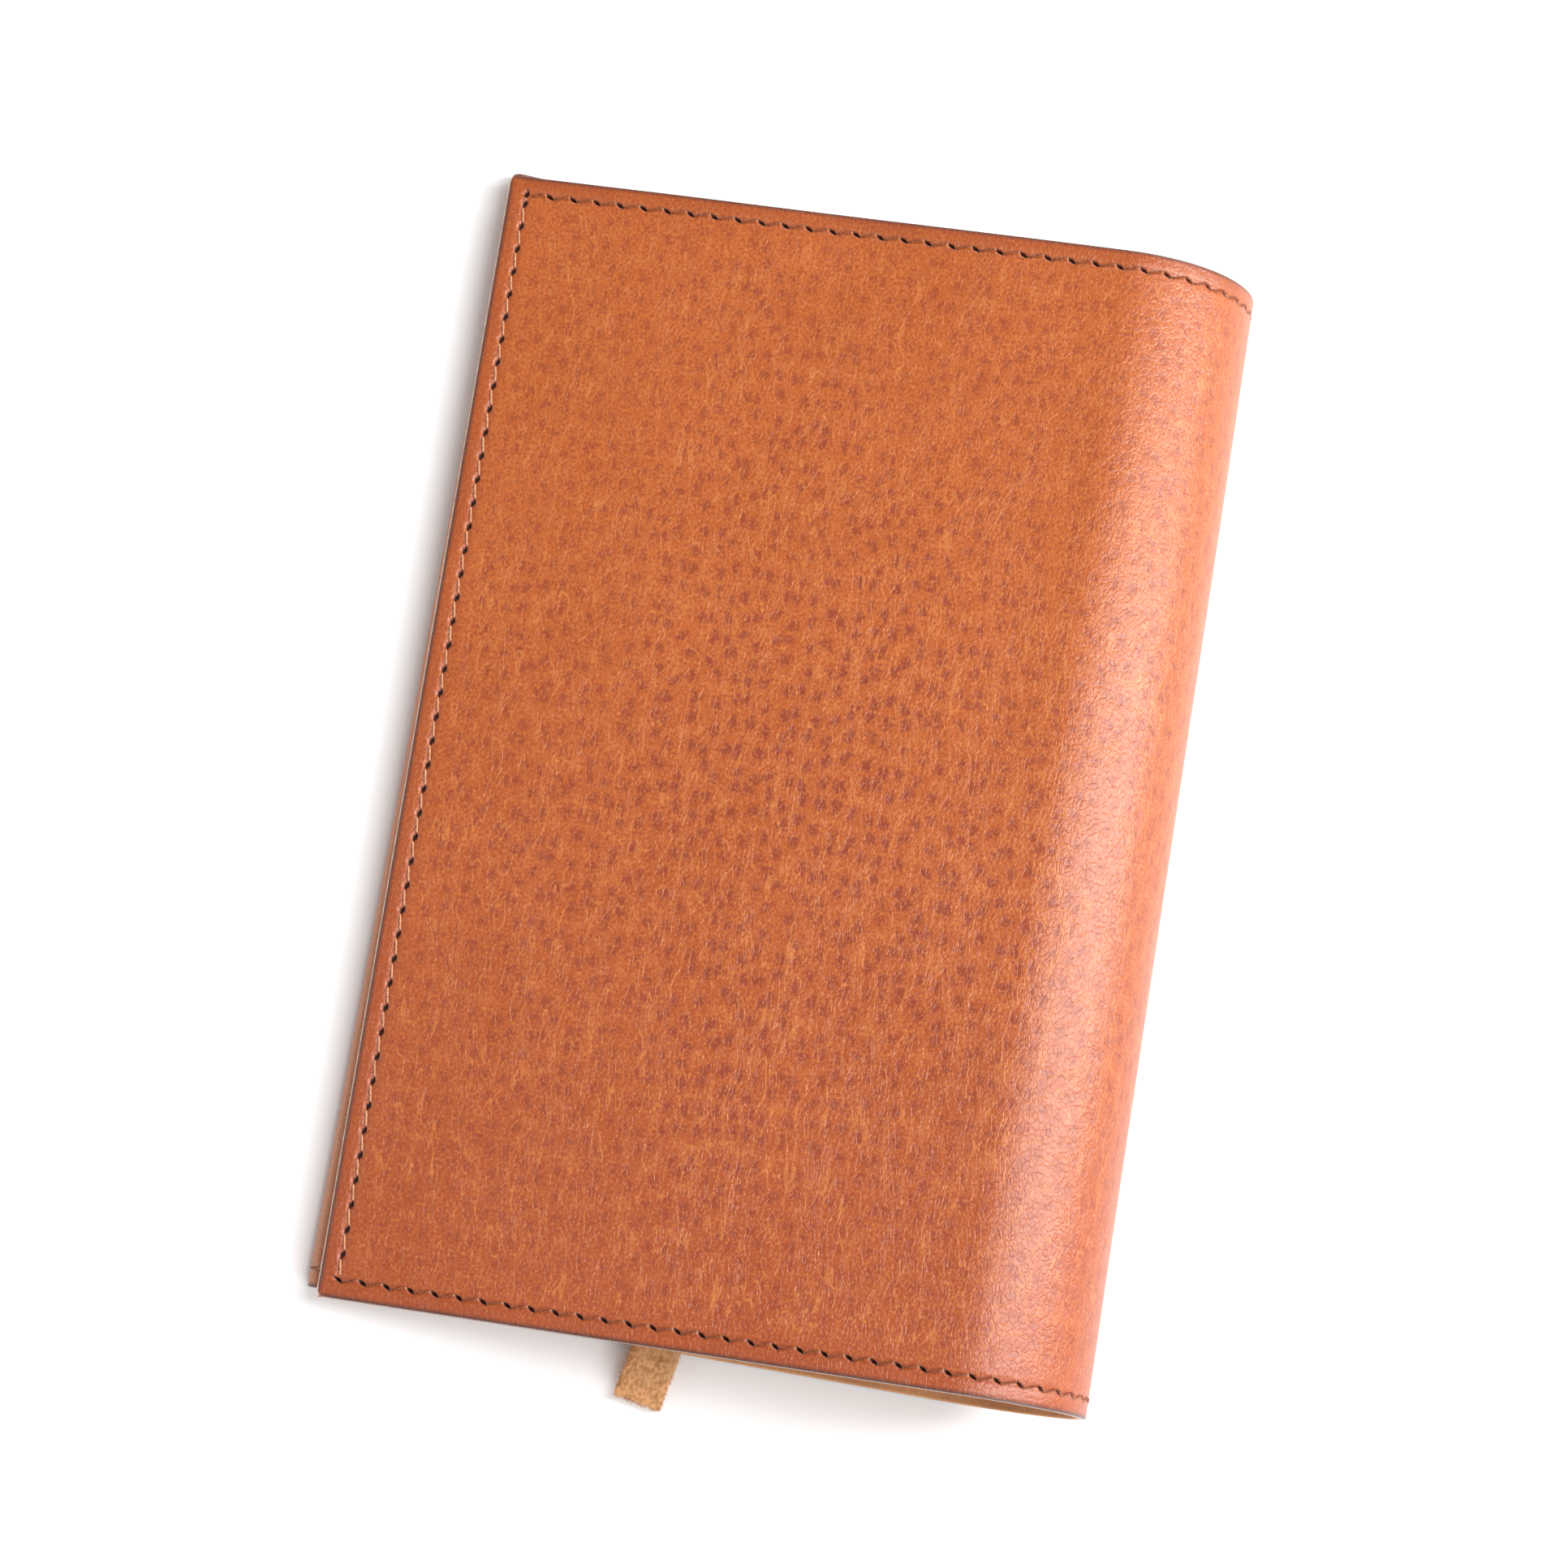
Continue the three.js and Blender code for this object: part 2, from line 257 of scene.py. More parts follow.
def seams(s, v):
    """Depth in mm cut by the seams, and how much of a place is open slit. The groove is a bell curve
    across the seam, and the nearest hole is found by rounding the place to the pitch."""
    flat = np.where(s < FLAT_END - FOLD_LENGTH / 2, mirror_in_fold(s), s)
    nearest = np.clip(np.round((FORE_SEAM - flat) / PITCH), 0, HOLES - 1)
    up = v - np.sign(v) * SEAM
    ends = slit(flat - (FORE_SEAM - nearest * PITCH), up, END_SLANT)
    ends = np.where((nearest == 0) & (v > 0), -9, ends)
    middles = (fore_holes[1:] + fore_holes[:-1]) / 2
    beside = np.searchsorted(middles, v)
    fore = slit(flat - FORE_SEAM, v - fore_holes[beside], FORE_SLANT)
    fore = np.where(beside == 0, -9, fore)
    inside = np.maximum(ends, fore)
    groove = np.exp(-((up / GROOVE_WIDTH) ** 2) / 2)
    groove = groove * smooth_step(FORE_SEAM + 0.4 - flat, 0, 0.6)
    fore_groove = np.exp(-(((flat - FORE_SEAM) / GROOVE_WIDTH) ** 2) / 2)
    fore_groove = fore_groove * smooth_step(SEAM + 0.4 - np.abs(v), 0, 0.6)
    hollow = GROOVE * np.maximum(groove, fore_groove)
    lip = 0.07 * np.exp(-(((inside + 0.35) / 0.3) ** 2))
    opened = smooth_step(inside, -0.1, 0.12)
    return hollow + SLIT_DEPTH * smooth_step(inside, -0.1, 0.75) - lip, opened


# %% [markdown]
# ## Sheets of leather
# A sheet is closed all round: a fine face, a side wall and a plain hidden back. The wall follows
# the rim of the face inwards, so a cut edge can lean, swell and round over as a real one does when
# it is bevelled and rubbed with a bone. Solidify could make the wall, but it can't tell a cut edge
# from a side where the next stretch of the same leather begins.

# %% Build a sheet
RIM = 0.4  # radius of the rubbed edge in mm
WALL = np.array([0.12, 0.4, 0.72, 1.0])  # steps from the face to the back


def rub(distance):
    """Depth of a rounded rim: a quarter circle of radius RIM, at a distance from the edge."""
    inner = np.clip(RIM - distance, 0, RIM)
    return RIM - np.sqrt(RIM**2 - inner**2)


def corner_shift(a, b, reach=2.2, most=0.44):
    """How far a place near a corner moves in, so that the corner is round in plan."""
    return most * np.clip(1 - a / reach, 0, 1) ** 2 * np.clip(1 - b / reach, 0, 1) ** 2


def new_mesh(name, points, faces, pattern, values, material):
    """A smooth mesh with its flat pattern as its UV map and one float attribute for each value."""
    mesh = bpy.data.meshes.new(name)
    mesh.from_pydata(points.tolist(), [], faces)
    uv = mesh.uv_layers.new(name="flat_pattern")
    corners = np.empty(len(mesh.loops), np.int32)
    mesh.loops.foreach_get("vertex_index", corners)
    uv.data.foreach_set("uv", (pattern[corners] / 100).astype(np.float32).ravel())
    for key, value in values.items():
        mesh.attributes.new(key, "FLOAT", "POINT").data.foreach_set("value", value.astype(np.float32))
    mesh.shade_smooth()
    mesh.set_sharp_from_angle(angle=math.radians(60))
    mesh.materials.append(material)
    made = bpy.data.objects.new(name, mesh)
    bpy.context.scene.collection.objects.link(made)
    return made


def sheet(name, s_lines, v_lines, face, back_depth, lean, material):
    """A closed sheet on the grid of s_lines by v_lines. face(s, v) gives moved places, the depth of
    the fine side and its values. lean gives, for the low, high and end sides, how far a cut edge
    leans out per mm of depth, or None where more of the same leather follows."""
    s, v = np.meshgrid(s_lines, v_lines, indexing="ij")
    s, v, depth, values = face(s, v)
    n, m = s.shape
    ids = np.arange(n * m).reshape(n, m)
    rim = np.concatenate([ids[:-1, 0], ids[-1, :-1], ids[:0:-1, -1], ids[0, :0:-1]])
    count = len(rim)
    i, j = np.unravel_index(rim, (n, m))
    low, high, end = (0 if side is None else 1 for side in lean)
    out_s = high * (i == n - 1) - low * (i == 0)
    out_v = end * ((j == m - 1) * 1.0 - (j == 0))
    amount = np.where(out_s > 0, lean[1] or 0, np.where(out_s < 0, lean[0] or 0, lean[2] or 0))
    rs, rv, rd = s.ravel()[rim], v.ravel()[rim], depth.ravel()[rim]
    back = back_depth(rs, rv)
    wall_depth = rd + (back - rd) * WALL[:, None]
    swell = 0.05 * np.sin(np.pi * WALL)[:, None] - 0.10 * (WALL == 1)[:, None]
    out = swell + amount * np.abs(wall_depth - rd)
    wall_s, wall_v = rs + out * out_s, rv + out * out_v
    kept = np.unique(np.append(np.arange(0, m, 16), m - 1))
    under_s, under_v = s[1:-1, kept[1:-1]].ravel(), v[1:-1, kept[1:-1]].ravel()
    all_s = np.concatenate([s.ravel(), wall_s.ravel(), under_s])
    all_v = np.concatenate([v.ravel(), wall_v.ravel(), under_v])
    all_depth = np.concatenate([depth.ravel(), wall_depth.ravel(), back_depth(under_s, under_v)])

    loops = n * m + np.arange(len(WALL) * count).reshape(len(WALL), count)
    rings = np.vstack([rim, loops])
    after = np.roll(rings, -1, 1)
    quads = np.stack([ids[:-1, :-1], ids[:-1, 1:], ids[1:, 1:], ids[1:, :-1]], -1).reshape(-1, 4)
    walls = np.stack([rings[:-1], after[:-1], after[1:], rings[1:]], -1).reshape(-1, 4)
    last = np.full(n * m, -1)
    last[rim] = loops[-1]
    last = last.reshape(n, m)
    under = last[:, kept].copy()
    under[1:-1, 1:-1] = n * m + loops.size + np.arange(len(under_s)).reshape(n - 2, -1)
    inner = np.stack([under[:-1, :-1], under[1:, :-1], under[1:, 1:], under[:-1, 1:]], -1)
    faces = quads.tolist() + walls.tolist() + inner[1:-1].reshape(-1, 4).tolist()
    for k, (a, b) in enumerate(zip(kept[:-1], kept[1:])):
        faces.append([under[0, k], under[1, k], under[1, k + 1], *last[0, a + 1 : b + 1][::-1]])
        faces.append([under[-2, k], *last[-1, a : b + 1], under[-2, k + 1]])
    if back.mean() < rd.mean():
        faces = [face_ids[::-1] for face_ids in faces]

    extra = len(all_s) - n * m
    cut_wall = np.tile(np.hypot(out_s, out_v) > 0, len(WALL))
    cut = np.concatenate([np.zeros(n * m), cut_wall, np.zeros(len(under_s))])
    filled = {key: np.append(value.ravel(), np.zeros(extra)) for key, value in values.items()}
    filled["cut"] = cut
    if "burnish" in filled:
        along_ends = (out_v != 0) & (out_s == 0)
        filled["burnish"][n * m : n * m + loops.size] = np.tile(0.6 * along_ends, len(WALL))
    return new_mesh(
        name, wrap(all_s, all_v, all_depth), faces, np.stack([all_s, all_v], -1), filled, material
    )


# %% Lines of the grids
def gather(fixed, others, gap=0.13):
    """Sorted grid lines: all the fixed ones, and each other one that isn't too close to a line."""
    lines = list(fixed)
    for line in others:
        if min(abs(line - kept) for kept in lines) > gap:
            lines.append(line)
    return np.sort(lines)


AT_RIM = np.array([0, 0.05, 0.16, 0.4, 1.0, 1.8, 2.35])
AT_SLIT = np.array([-1.0, -0.6, -0.2, 0.2, 0.6, 1.0, 1.9, 2.9])
AT_SEAM = np.array([-0.74, -0.5, -0.25, 0.0, 0.25, 0.5, 0.74, 1.05, 1.6, 2.5])

ends = EDGE - np.concatenate([AT_RIM, MARGIN + AT_SEAM])
ends = np.sort(np.concatenate([ends, -ends]))
fine_rows = (fore_holes[:, None] + AT_SLIT).ravel()
fine_rows = gather(ends, fine_rows[np.abs(fine_rows) < SEAM - 1.0])
plain_rows = gather(ends, np.linspace(-SEAM + 2.8, SEAM - 2.8, 132))
hole_lines = np.sort((end_holes[:, None] + AT_SLIT).ravel())
pocket_hole_lines = mirror_in_fold(hole_lines)


def stretch(low, high, lines=hole_lines):
    """Lines of one stretch that joins its neighbours at both sides. A line just inside each side keeps
    the shading of two neighbours alike."""
    inside = lines[(lines > low + 0.2) & (lines < high - 0.2)]
    return np.sort(np.concatenate([[low, low + 0.03, high - 0.03, high], inside]))


print(len(fine_rows), "rows and", len(stretch(SPINE_LENGTH, BACK_END)), "columns on the back cover")

# %% [markdown]
# ## Colours and nodes
# Colours are written as the hex values a screen shows, and one function turns them to the linear
# values a shader works in. One helper adds any node with its settings, its values and its links.
# Two patterns made of several nodes come back in most finishes: unevenness, which every natural
# surface has, and coats of colour, laid over each other as dye, wax and wear are.

# %% Colour and node helpers
MAPPING, NOISE, CELLS = "ShaderNodeMapping", "ShaderNodeTexNoise", "ShaderNodeTexVoronoi"
MATH, RANGE, MIX = "ShaderNodeMath", "ShaderNodeMapRange", "ShaderNodeMix"
EASED = {"interpolation_type": "SMOOTHSTEP"}  # a range that starts and ends gently
COLOUR_OF_MIX = 2  # which of a mix node's outputs is its colour


def linear(hex_colour):
    """sRGB hex to linear: values under 0.04045 are divided by 12.92, the rest follow the 2.4 power."""
    values = np.array([int(hex_colour[i : i + 2], 16) for i in (1, 3, 5)]) / 255
    values = np.where(values <= 0.04045, values / 12.92, ((values + 0.055) / 1.055) ** 2.4)
    return (*values.tolist(), 1.0)


def add(tree, kind, inputs=(), **settings):
    """Add one node. Settings are its properties. Inputs are (name or number, value) pairs, where a
    value is a number, a colour, a socket, or a node, which stands for its first output."""
    made = tree.nodes.new(kind)
    for key, value in settings.items():
        setattr(made, key, value)
    for key, value in inputs:
        if isinstance(value, bpy.types.Node):
            value = value.outputs[COLOUR_OF_MIX if value.bl_idname == MIX else 0]
        if isinstance(value, bpy.types.NodeSocket):
            tree.links.new(value, made.inputs[key])
        else:
            made.inputs[key].default_value = value
    return made


def start_material(name):
    """A material and its node tree, emptied."""
    material = bpy.data.materials.new(name)
    material.use_nodes = True
    material.node_tree.nodes.clear()
    return material, material.node_tree


def surface(tree, inputs):
    """The shader with its inputs, joined to the material's output."""
    shader = add(tree, "ShaderNodeBsdfPrincipled", inputs)
    add(tree, "ShaderNodeOutputMaterial", [("Surface", shader)])


def unevenness(tree, place, across, up, detail):
    """Soft random values from 0 to 1, in lumps about across by up mm. Place is in mm too."""
    scaled = add(tree, MAPPING, [("Vector", place), ("Scale", (1 / across, 1 / up, 1))])
    return add(tree, NOISE, [("Vector", scaled), ("Scale", 1.0), ("Detail", detail)])


def coats(tree, colour, layers):
    """Colours laid over a colour in turn. Each is a pattern, the two values of the pattern between
    which the coat comes in, how much it covers at most, and its colour."""
    for pattern, low, high, most, hex_colour in layers:
        share = add(tree, RANGE, [(0, pattern), (1, low), (2, high), (4, most)], **EASED)
        colour = add(tree, MIX, [(0, share), (6, colour), (7, linear(hex_colour))], data_type="RGBA")
    return colour


print("linear value of #808080:", round(linear("#808080")[0], 3))

# %% [markdown]
# ## Vegetable-tanned leather
# Bark-tanned cowhide, dyed chestnut, rubbed with wax and left to darken. It has a soft, broad
# shine, a fine grain of pores and hair cells, and dull dimples between lighter creases where the
# wax has been rubbed off the high places. Its cut edge is painted pale, partly for the paler middle
# of the hide and partly as a painted reflection of the bright surroundings on the rubbed edge, and
# the bone and heat of burnishing leave the corner next to the grain nearly black. Its patterns are in
# millimetres of the flat piece, read from the UV map, so that they bend with the leather.
#
# The dimples are cells at a tumbled hide's spacing, pulled out of line by a slow drift. The ridges
# are the contour lines of a noise stretched up the hide, which wander and fork as real ones do.

# %% Outer leather
DIMPLE = (3.4, 4.3)  # spacing in mm, across and up
DRIFT = (12, 20, 5.0)  # the rows wander by up to 5 mm, in lumps of 12 by 20 mm
RIDGES = [(2.1, 9.0, 0.028), (3.3, 15.0, 0.02)]  # mm across and up, and half a line's width in noise
SPECK = (0.6, 0.62)  # pores are under 0.2 mm, and are drawn three times as coarse so that they show
FLECK = (1.3, 2.2)
CLOUD = (30, 40)
CRACK = (1.0, 1.5)
RELIEF = 0.00009  # in metres, from a dimple's floor to a ridge
LEATHER_DARK = "#b25511"
LEATHER_LIGHT = "#b75812"
LEATHER_FLECK = "#a4440a"
LEATHER_DEEP_DYE_AND_SHADE = "#973a08"  # nearer the tail: partly a deeper take of the dye, partly painted shade for the light falling off towards the tail
LEATHER_DIMPLE = "#8b3003"
LEATHER_RIDGE = "#d27d3a"
LEATHER_HANDLED = "#903a0a"
# paler over the fold: partly the pull-up of leather drawn over it, partly painted light
LEATHER_STRETCHED_AND_LIT = "#bc7a50"
# cut edge: the paler middle of the hide together with a painted reflection
CORE_AND_REFLECTION_DARK = "#c98f6c"
CORE_AND_REFLECTION_LIGHT = "#e2b699"
BURNISHED = "#45180a"
SLIT_SHADE = "#1c0602"


def ridge_lines(tree, drawn, place, across, up, half_width):
    """Lines where a stretched noise passes through its middle value, so |noise - 0.5| is near
    nothing. A second noise breaks them."""
    level = add(tree, MATH, [(0, unevenness(tree, drawn, across, up, 1.0)), (1, -0.5)], operation="ADD")
    level = add(tree, MATH, [(0, level)], operation="ABSOLUTE")
    line = add(tree, RANGE, [(0, level), (1, half_width), (2, 0.0)], **EASED)
    gaps = unevenness(tree, place, across * 1.3, up * 0.8, 2.0)
    broken = add(tree, RANGE, [(0, gaps), (1, 0.38), (2, 0.6)], **EASED)
    return add(tree, MATH, [(0, line), (1, broken)], operation="MULTIPLY")


def vegetable_tanned_leather():
    """Patterns in mm, the coats of colour that follow them, and a gloss and relief to match."""
    material, tree = start_material("vegetable_tanned_leather_waxed")
    uv = add(tree, "ShaderNodeUVMap", uv_map="flat_pattern")
    place = add(tree, MAPPING, [("Vector", uv), ("Scale", (100, 100, 1))])  # in mm
    kept = {}
    for key in ("pebbled", "handled", "stretched", "cut", "burnish", "slit"):
        kept[key] = add(tree, "ShaderNodeAttribute", attribute_name=key).outputs["Fac"]
    up = add(tree, "ShaderNodeSeparateXYZ", [("Vector", place)]).outputs["Y"]
    cloud = unevenness(tree, place, *CLOUD, 3.0)
    speck = unevenness(tree, place, *SPECK, 3.0)
    fleck = unevenness(tree, place, *FLECK, 3.0)
    wander = unevenness(tree, place, *DRIFT[:2], 2.0).outputs["Color"]
    most = (DRIFT[2], DRIFT[2], 0.0)
    drift = add(tree, "ShaderNodeVectorMath", [(0, wander), (1, most)], operation="MULTIPLY")
    drawn = add(tree, "ShaderNodeVectorMath", [(0, place), (1, drift)], operation="ADD")

    # Dimples: near the middle of a cell, with a ragged edge, where this patch of hide has them.
    in_cells = add(tree, MAPPING, [("Vector", drawn), ("Scale", (1 / DIMPLE[0], 1 / DIMPLE[1], 1))])
    spaced = [("Vector", in_cells), ("Scale", 1.0), ("Randomness", 0.7)]
    cell = add(tree, CELLS, spaced, voronoi_dimensions="2D")
    rough_edge = unevenness(tree, place, 0.9, 1.2, 2.0)
    ragged = add(tree, RANGE, [(0, rough_edge), (1, 0.3), (2, 0.7), (3, -0.12), (4, 0.12)], **EASED)
    spread = add(tree, MATH, [(0, cell), (1, ragged)], operation="ADD")
    patches = unevenness(tree, place, 6, 10, 1.0)
    patches = add(tree, RANGE, [(0, patches), (1, 0.15), (2, 0.38)], **EASED)
    where = add(tree, MATH, [(0, patches), (1, kept["pebbled"])], operation="MULTIPLY")
    dimple = add(tree, RANGE, [(0, spread), (1, 0.46), (2, 0.06)], **EASED)
    dimple = add(tree, MATH, [(0, dimple), (1, where)], operation="MULTIPLY")
    between = add(tree, RANGE, [(0, spread), (1, 0.5), (2, 0.8)], **EASED)
    between = add(tree, MATH, [(0, between), (1, kept["pebbled"])], operation="MULTIPLY")

    # Ridges, two sizes of them, and the finest cracks of the grain.
    wide, narrow = (ridge_lines(tree, drawn, place, *size) for size in RIDGES)
    ridge = add(tree, MATH, [(0, wide), (1, narrow)], operation="MAXIMUM")
    drawn_up = add(tree, RANGE, [(0, kept["pebbled"]), (1, 0.0), (2, 0.7)], **EASED)
    ridge = add(tree, MATH, [(0, ridge), (1, drawn_up)], operation="MULTIPLY")
    in_cracks = add(tree, MAPPING, [("Vector", drawn), ("Scale", (1 / CRACK[0], 1 / CRACK[1], 1))])
    crack = add(tree, CELLS, [("Vector", in_cracks), ("Scale", 1.0)], feature="DISTANCE_TO_EDGE")
    fine = add(tree, RANGE, [(0, crack), (1, 0.0), (2, 0.16)], **EASED)

    colour = coats(tree, linear(LEATHER_DARK), [
        (cloud, 0.3, 0.7, 1.0, LEATHER_LIGHT),
        # darker towards the tail: partly the dye's own tone, partly painted shade
        (up, 60.0, -120.0, 0.62, LEATHER_DEEP_DYE_AND_SHADE),
        (fleck, 0.4, 0.7, 0.3, LEATHER_FLECK),
        (dimple, 0.0, 1.0, 0.95, LEATHER_DIMPLE),
        (between, 0.0, 1.0, 0.3, LEATHER_RIDGE),
        (ridge, 0.0, 1.0, 0.48, LEATHER_RIDGE),
        (speck, 0.5, 0.68, 0.6, LEATHER_DIMPLE),
        (speck, 0.48, 0.3, 0.4, LEATHER_RIDGE),
    ])
    # cut walls: the paler middle of the hide, with a painted reflection of the bright surroundings
    core_and_reflection = coats(tree, linear(CORE_AND_REFLECTION_DARK), [(fleck, 0.35, 0.65, 1.0, CORE_AND_REFLECTION_LIGHT)])
    cut = add(tree, RANGE, [(0, kept["cut"]), (1, 0.2), (2, 0.8)], **EASED)
    wear = [
        (kept["handled"], linear(LEATHER_HANDLED)),
        # painted light over the fold, with the fold's own pull-up
        (kept["stretched"], linear(LEATHER_STRETCHED_AND_LIT)),
        (cut, core_and_reflection),
        (kept["burnish"], linear(BURNISHED)),
        (kept["slit"], linear(SLIT_SHADE)),
    ]
    for share, over in wear:
        colour = add(tree, MIX, [(0, share), (6, colour), (7, over)], data_type="RGBA")

    waxed = add(tree, RANGE, [(0, cloud), (1, 0.3), (2, 0.7), (3, 0.34), (4, 0.38)], **EASED)
    rough = add(tree, MATH, [(0, dimple), (1, 0.02), (2, waxed)], operation="MULTIPLY_ADD")
    rough = add(tree, MATH, [(0, kept["slit"]), (1, 0.4), (2, rough)], operation="MULTIPLY_ADD")
    height = add(tree, MATH, [(0, ridge), (1, 0.3)], operation="MULTIPLY")
    for pattern, share in ((dimple, -0.8), (speck, 0.8), (fine, 0.5), (fleck, 0.8)):
        height = add(tree, MATH, [(0, pattern), (1, share), (2, height)], operation="MULTIPLY_ADD")
    bump = add(tree, "ShaderNodeBump", [("Height", height), ("Strength", 0.7), ("Distance", RELIEF)])
    surface(tree, [
        ("Base Color", colour),
        ("Roughness", rough),
        ("Specular IOR Level", 0.85),  # wax over leather, so a little more than leather's own
        ("IOR", 1.5),
        ("Normal", bump),
    ])
    print("outer leather:", len(tree.nodes), "nodes")
    return material


outer_leather = vegetable_tanned_leather()

# %% [markdown]
# ## Lining leather
# A thin split of the same hide, left undyed and not waxed: paler, drier, with short fibres and no
# pebbles.

# %% Lining leather
def lining_split():
    """Cloudy colour in lumps of about 22 mm with fibres of 0.7 mm over it, and no gloss."""
    material, tree = start_material("undyed_lining_split_leather")
    uv = add(tree, "ShaderNodeUVMap", uv_map="flat_pattern")
    place = add(tree, MAPPING, [("Vector", uv), ("Scale", (100, 60, 100))])
    cloud = add(tree, NOISE, [("Vector", place), ("Scale", 1 / 22), ("Detail", 4.0)])
    fibre = add(tree, NOISE, [("Vector", place), ("Scale", 1 / 0.7), ("Detail", 5.0)])
    layers = [(cloud, 0.3, 0.7, 1.0, "#cf9868"), (fibre, 0.4, 0.7, 0.4, "#a56c42")]
    rough = add(tree, RANGE, [(0, fibre), (1, 0.3), (2, 0.7), (3, 0.62), (4, 0.78)], **EASED)
    bump = add(tree, "ShaderNodeBump", [("Height", fibre), ("Strength", 0.5), ("Distance", 0.00008)])
    colour = coats(tree, linear("#b98054"), layers)
    surface(tree, [("Base Color", colour), ("Roughness", rough), ("Normal", bump)])
    return material


lining_leather = lining_split()
print("finish:", lining_leather.name)

# %% [markdown]
# ## Waxed thread
# Linen thread of three plies twisted together and drawn through beeswax. The plies make slanted
# stripes along it, about one turn in 1.6 mm, and the wax gives it a soft shine. The stripes come
# from a wave that runs round and along the thread. Where a stitch is drawn over the lip of its
# hole, the thread is flattened, and a pale colour painted at both ends of each stitch stands for
# the light it catches there: a painted highlight.

# %% Thread
PLIES, TWIST = 3, 1.6  # the twist is the length of one turn in mm


def waxed_thread(name, light, dark, glint_colour):
    """Stripes as the sine of the angle round the thread plus the turns made along it."""
    material, tree = start_material(name)
    painted_glint = add(tree, "ShaderNodeAttribute", attribute_name="painted_glint").outputs["Fac"]
    uv = add(tree, "ShaderNodeUVMap", uv_map="flat_pattern")
    place = add(tree, MAPPING, [("Vector", uv), ("Scale", (100, 100, 100))])
    around, along, _ = add(tree, "ShaderNodeSeparateXYZ", [(0, place)]).outputs
    twist = add(tree, MATH, [(0, along), (1, 1 / TWIST), (2, around)], operation="MULTIPLY_ADD")
    turns = add(tree, MATH, [(0, twist), (1, PLIES * 2 * math.pi)], operation="MULTIPLY")
    ply = add(tree, MATH, [(0, turns)], operation="SINE")
    colour = coats(tree, linear(dark), [(ply, -1, 0.2, 1.0, light)])
    # painted highlight at both ends of each stitch
    colour = add(tree, MIX, [(0, painted_glint), (6, colour), (7, linear(glint_colour))], data_type="RGBA")
    bump = add(tree, "ShaderNodeBump", [("Height", ply), ("Strength", 0.6), ("Distance", 0.00006)])
    surface(tree, [("Base Color", colour), ("Roughness", 0.5), ("Normal", bump)])
    return material


# One thread in two copies: the golden one is painted light for the fore edge, which faces the lamp, and
# the brown one is painted shade for the grooves of the head and tail, and serves every other seam too.
thread_painted_shade = waxed_thread("waxed_linen_thread_painted_shade", "#95491f", "#65290d", "#f0b684")
thread_painted_light = waxed_thread("waxed_linen_thread_painted_light", "#dfa47c", "#b07046", "#ecb992")
print("threads:", thread_painted_shade.name, "and", thread_painted_light.name)

# %% [markdown]
# ## Suede
# The bookmark is cut from a split, with the nap of the flesh side up: a mat of coarse golden fibres
# that lie every way and stand out at its edges. It has no gloss but a soft sheen.

# %% Suede
STRAP_LEAN = math.radians(10.6)
NAP = (0.0007, 0.001, 0.0007)  # a tuft of fibres in metres, turned with the strap


def suede():
    """Tufts and pale fibre ends in the strap's own direction, over slow clouds of colour."""
    material, tree = start_material("napped_suede_split")
    place = add(tree, "ShaderNodeTexCoord").outputs["Object"]
    tuft = tuple(1 / length for length in NAP)
    turned = add(tree, MAPPING, [("Vector", place), ("Rotation", (0, 0, STRAP_LEAN)), ("Scale", tuft)])
    fibre = add(tree, NOISE, [("Vector", turned), ("Scale", 1.0), ("Detail", 5.0)])
    cloud = add(tree, NOISE, [("Vector", place), ("Scale", 1 / 0.004), ("Detail", 3.0)])
    ends = add(tree, CELLS, [("Vector", turned), ("Scale", 1.6)])
    colour = coats(tree, linear("#a9733f"), [
        (fibre, 0.34, 0.66, 1.0, "#d9a070"),
        (ends, 0.3, 0.05, 0.6, "#eec9a0"),
        (cloud, 0.35, 0.7, 0.5, "#cda273"),
    ])
    bump = add(tree, "ShaderNodeBump", [("Height", fibre), ("Strength", 0.8), ("Distance", 0.0002)])
    surface(tree, [
        ("Base Color", colour),
        ("Roughness", 0.95),
        ("Sheen Weight", 0.35),
        ("Sheen Roughness", 0.5),
        ("Normal", bump),
    ])
    return material


strap_suede = suede()
print("materials:", ", ".join(material.name for material in bpy.data.materials))

# %% [markdown]
# ## Outer leather
# One piece of leather makes the whole outside. It is built in stretches, because the back cover,
# the front cover and the round of the spine move apart when the cover opens. The covers go with
# their bodies, the bends of the spine stay where they lie, and every stretch shares its end line
# with the next.

# %% The faces of the layers
TURN_IN_END = FLAT_END - FOLD_LENGTH - POCKET_WIDTH


def layer_values(s, v, opened=0.0, pebbled=0.0):
    """Values kept on a leather face: open slits, rubbed rim, pebbling, the darker border that hands
    and burnishing leave near an edge, and the paler leather stretched over the fold, partly the
    pull-up of the stretched leather and partly painted light on the fold."""
    edge = np.minimum(EDGE - np.abs(v), np.minimum(BACK_END - s, s - TURN_IN_END))
    handled = 0.55 * (1 - smooth_step(edge, 0.0, 5.0)) * (0.8 + 0.4 * smooth_noise(s / 6, v / 6, 12))
    from_fold = np.abs(s - (FLAT_END - FOLD_LENGTH / 2))
    zero = np.zeros(s.shape)
    return {
        "slit": opened + zero,
        "burnish": 1 - smooth_step(edge, 0.15, 0.7),
        "pebbled": pebbled + zero,
        "handled": np.clip(handled, 0, 1),
        # paler over the fold: partly the pull-up of leather drawn over it, partly painted light on the
        # fold
        "stretched": 0.8 * (1 - smooth_step(from_fold, 2.5, 6.5)),
    }


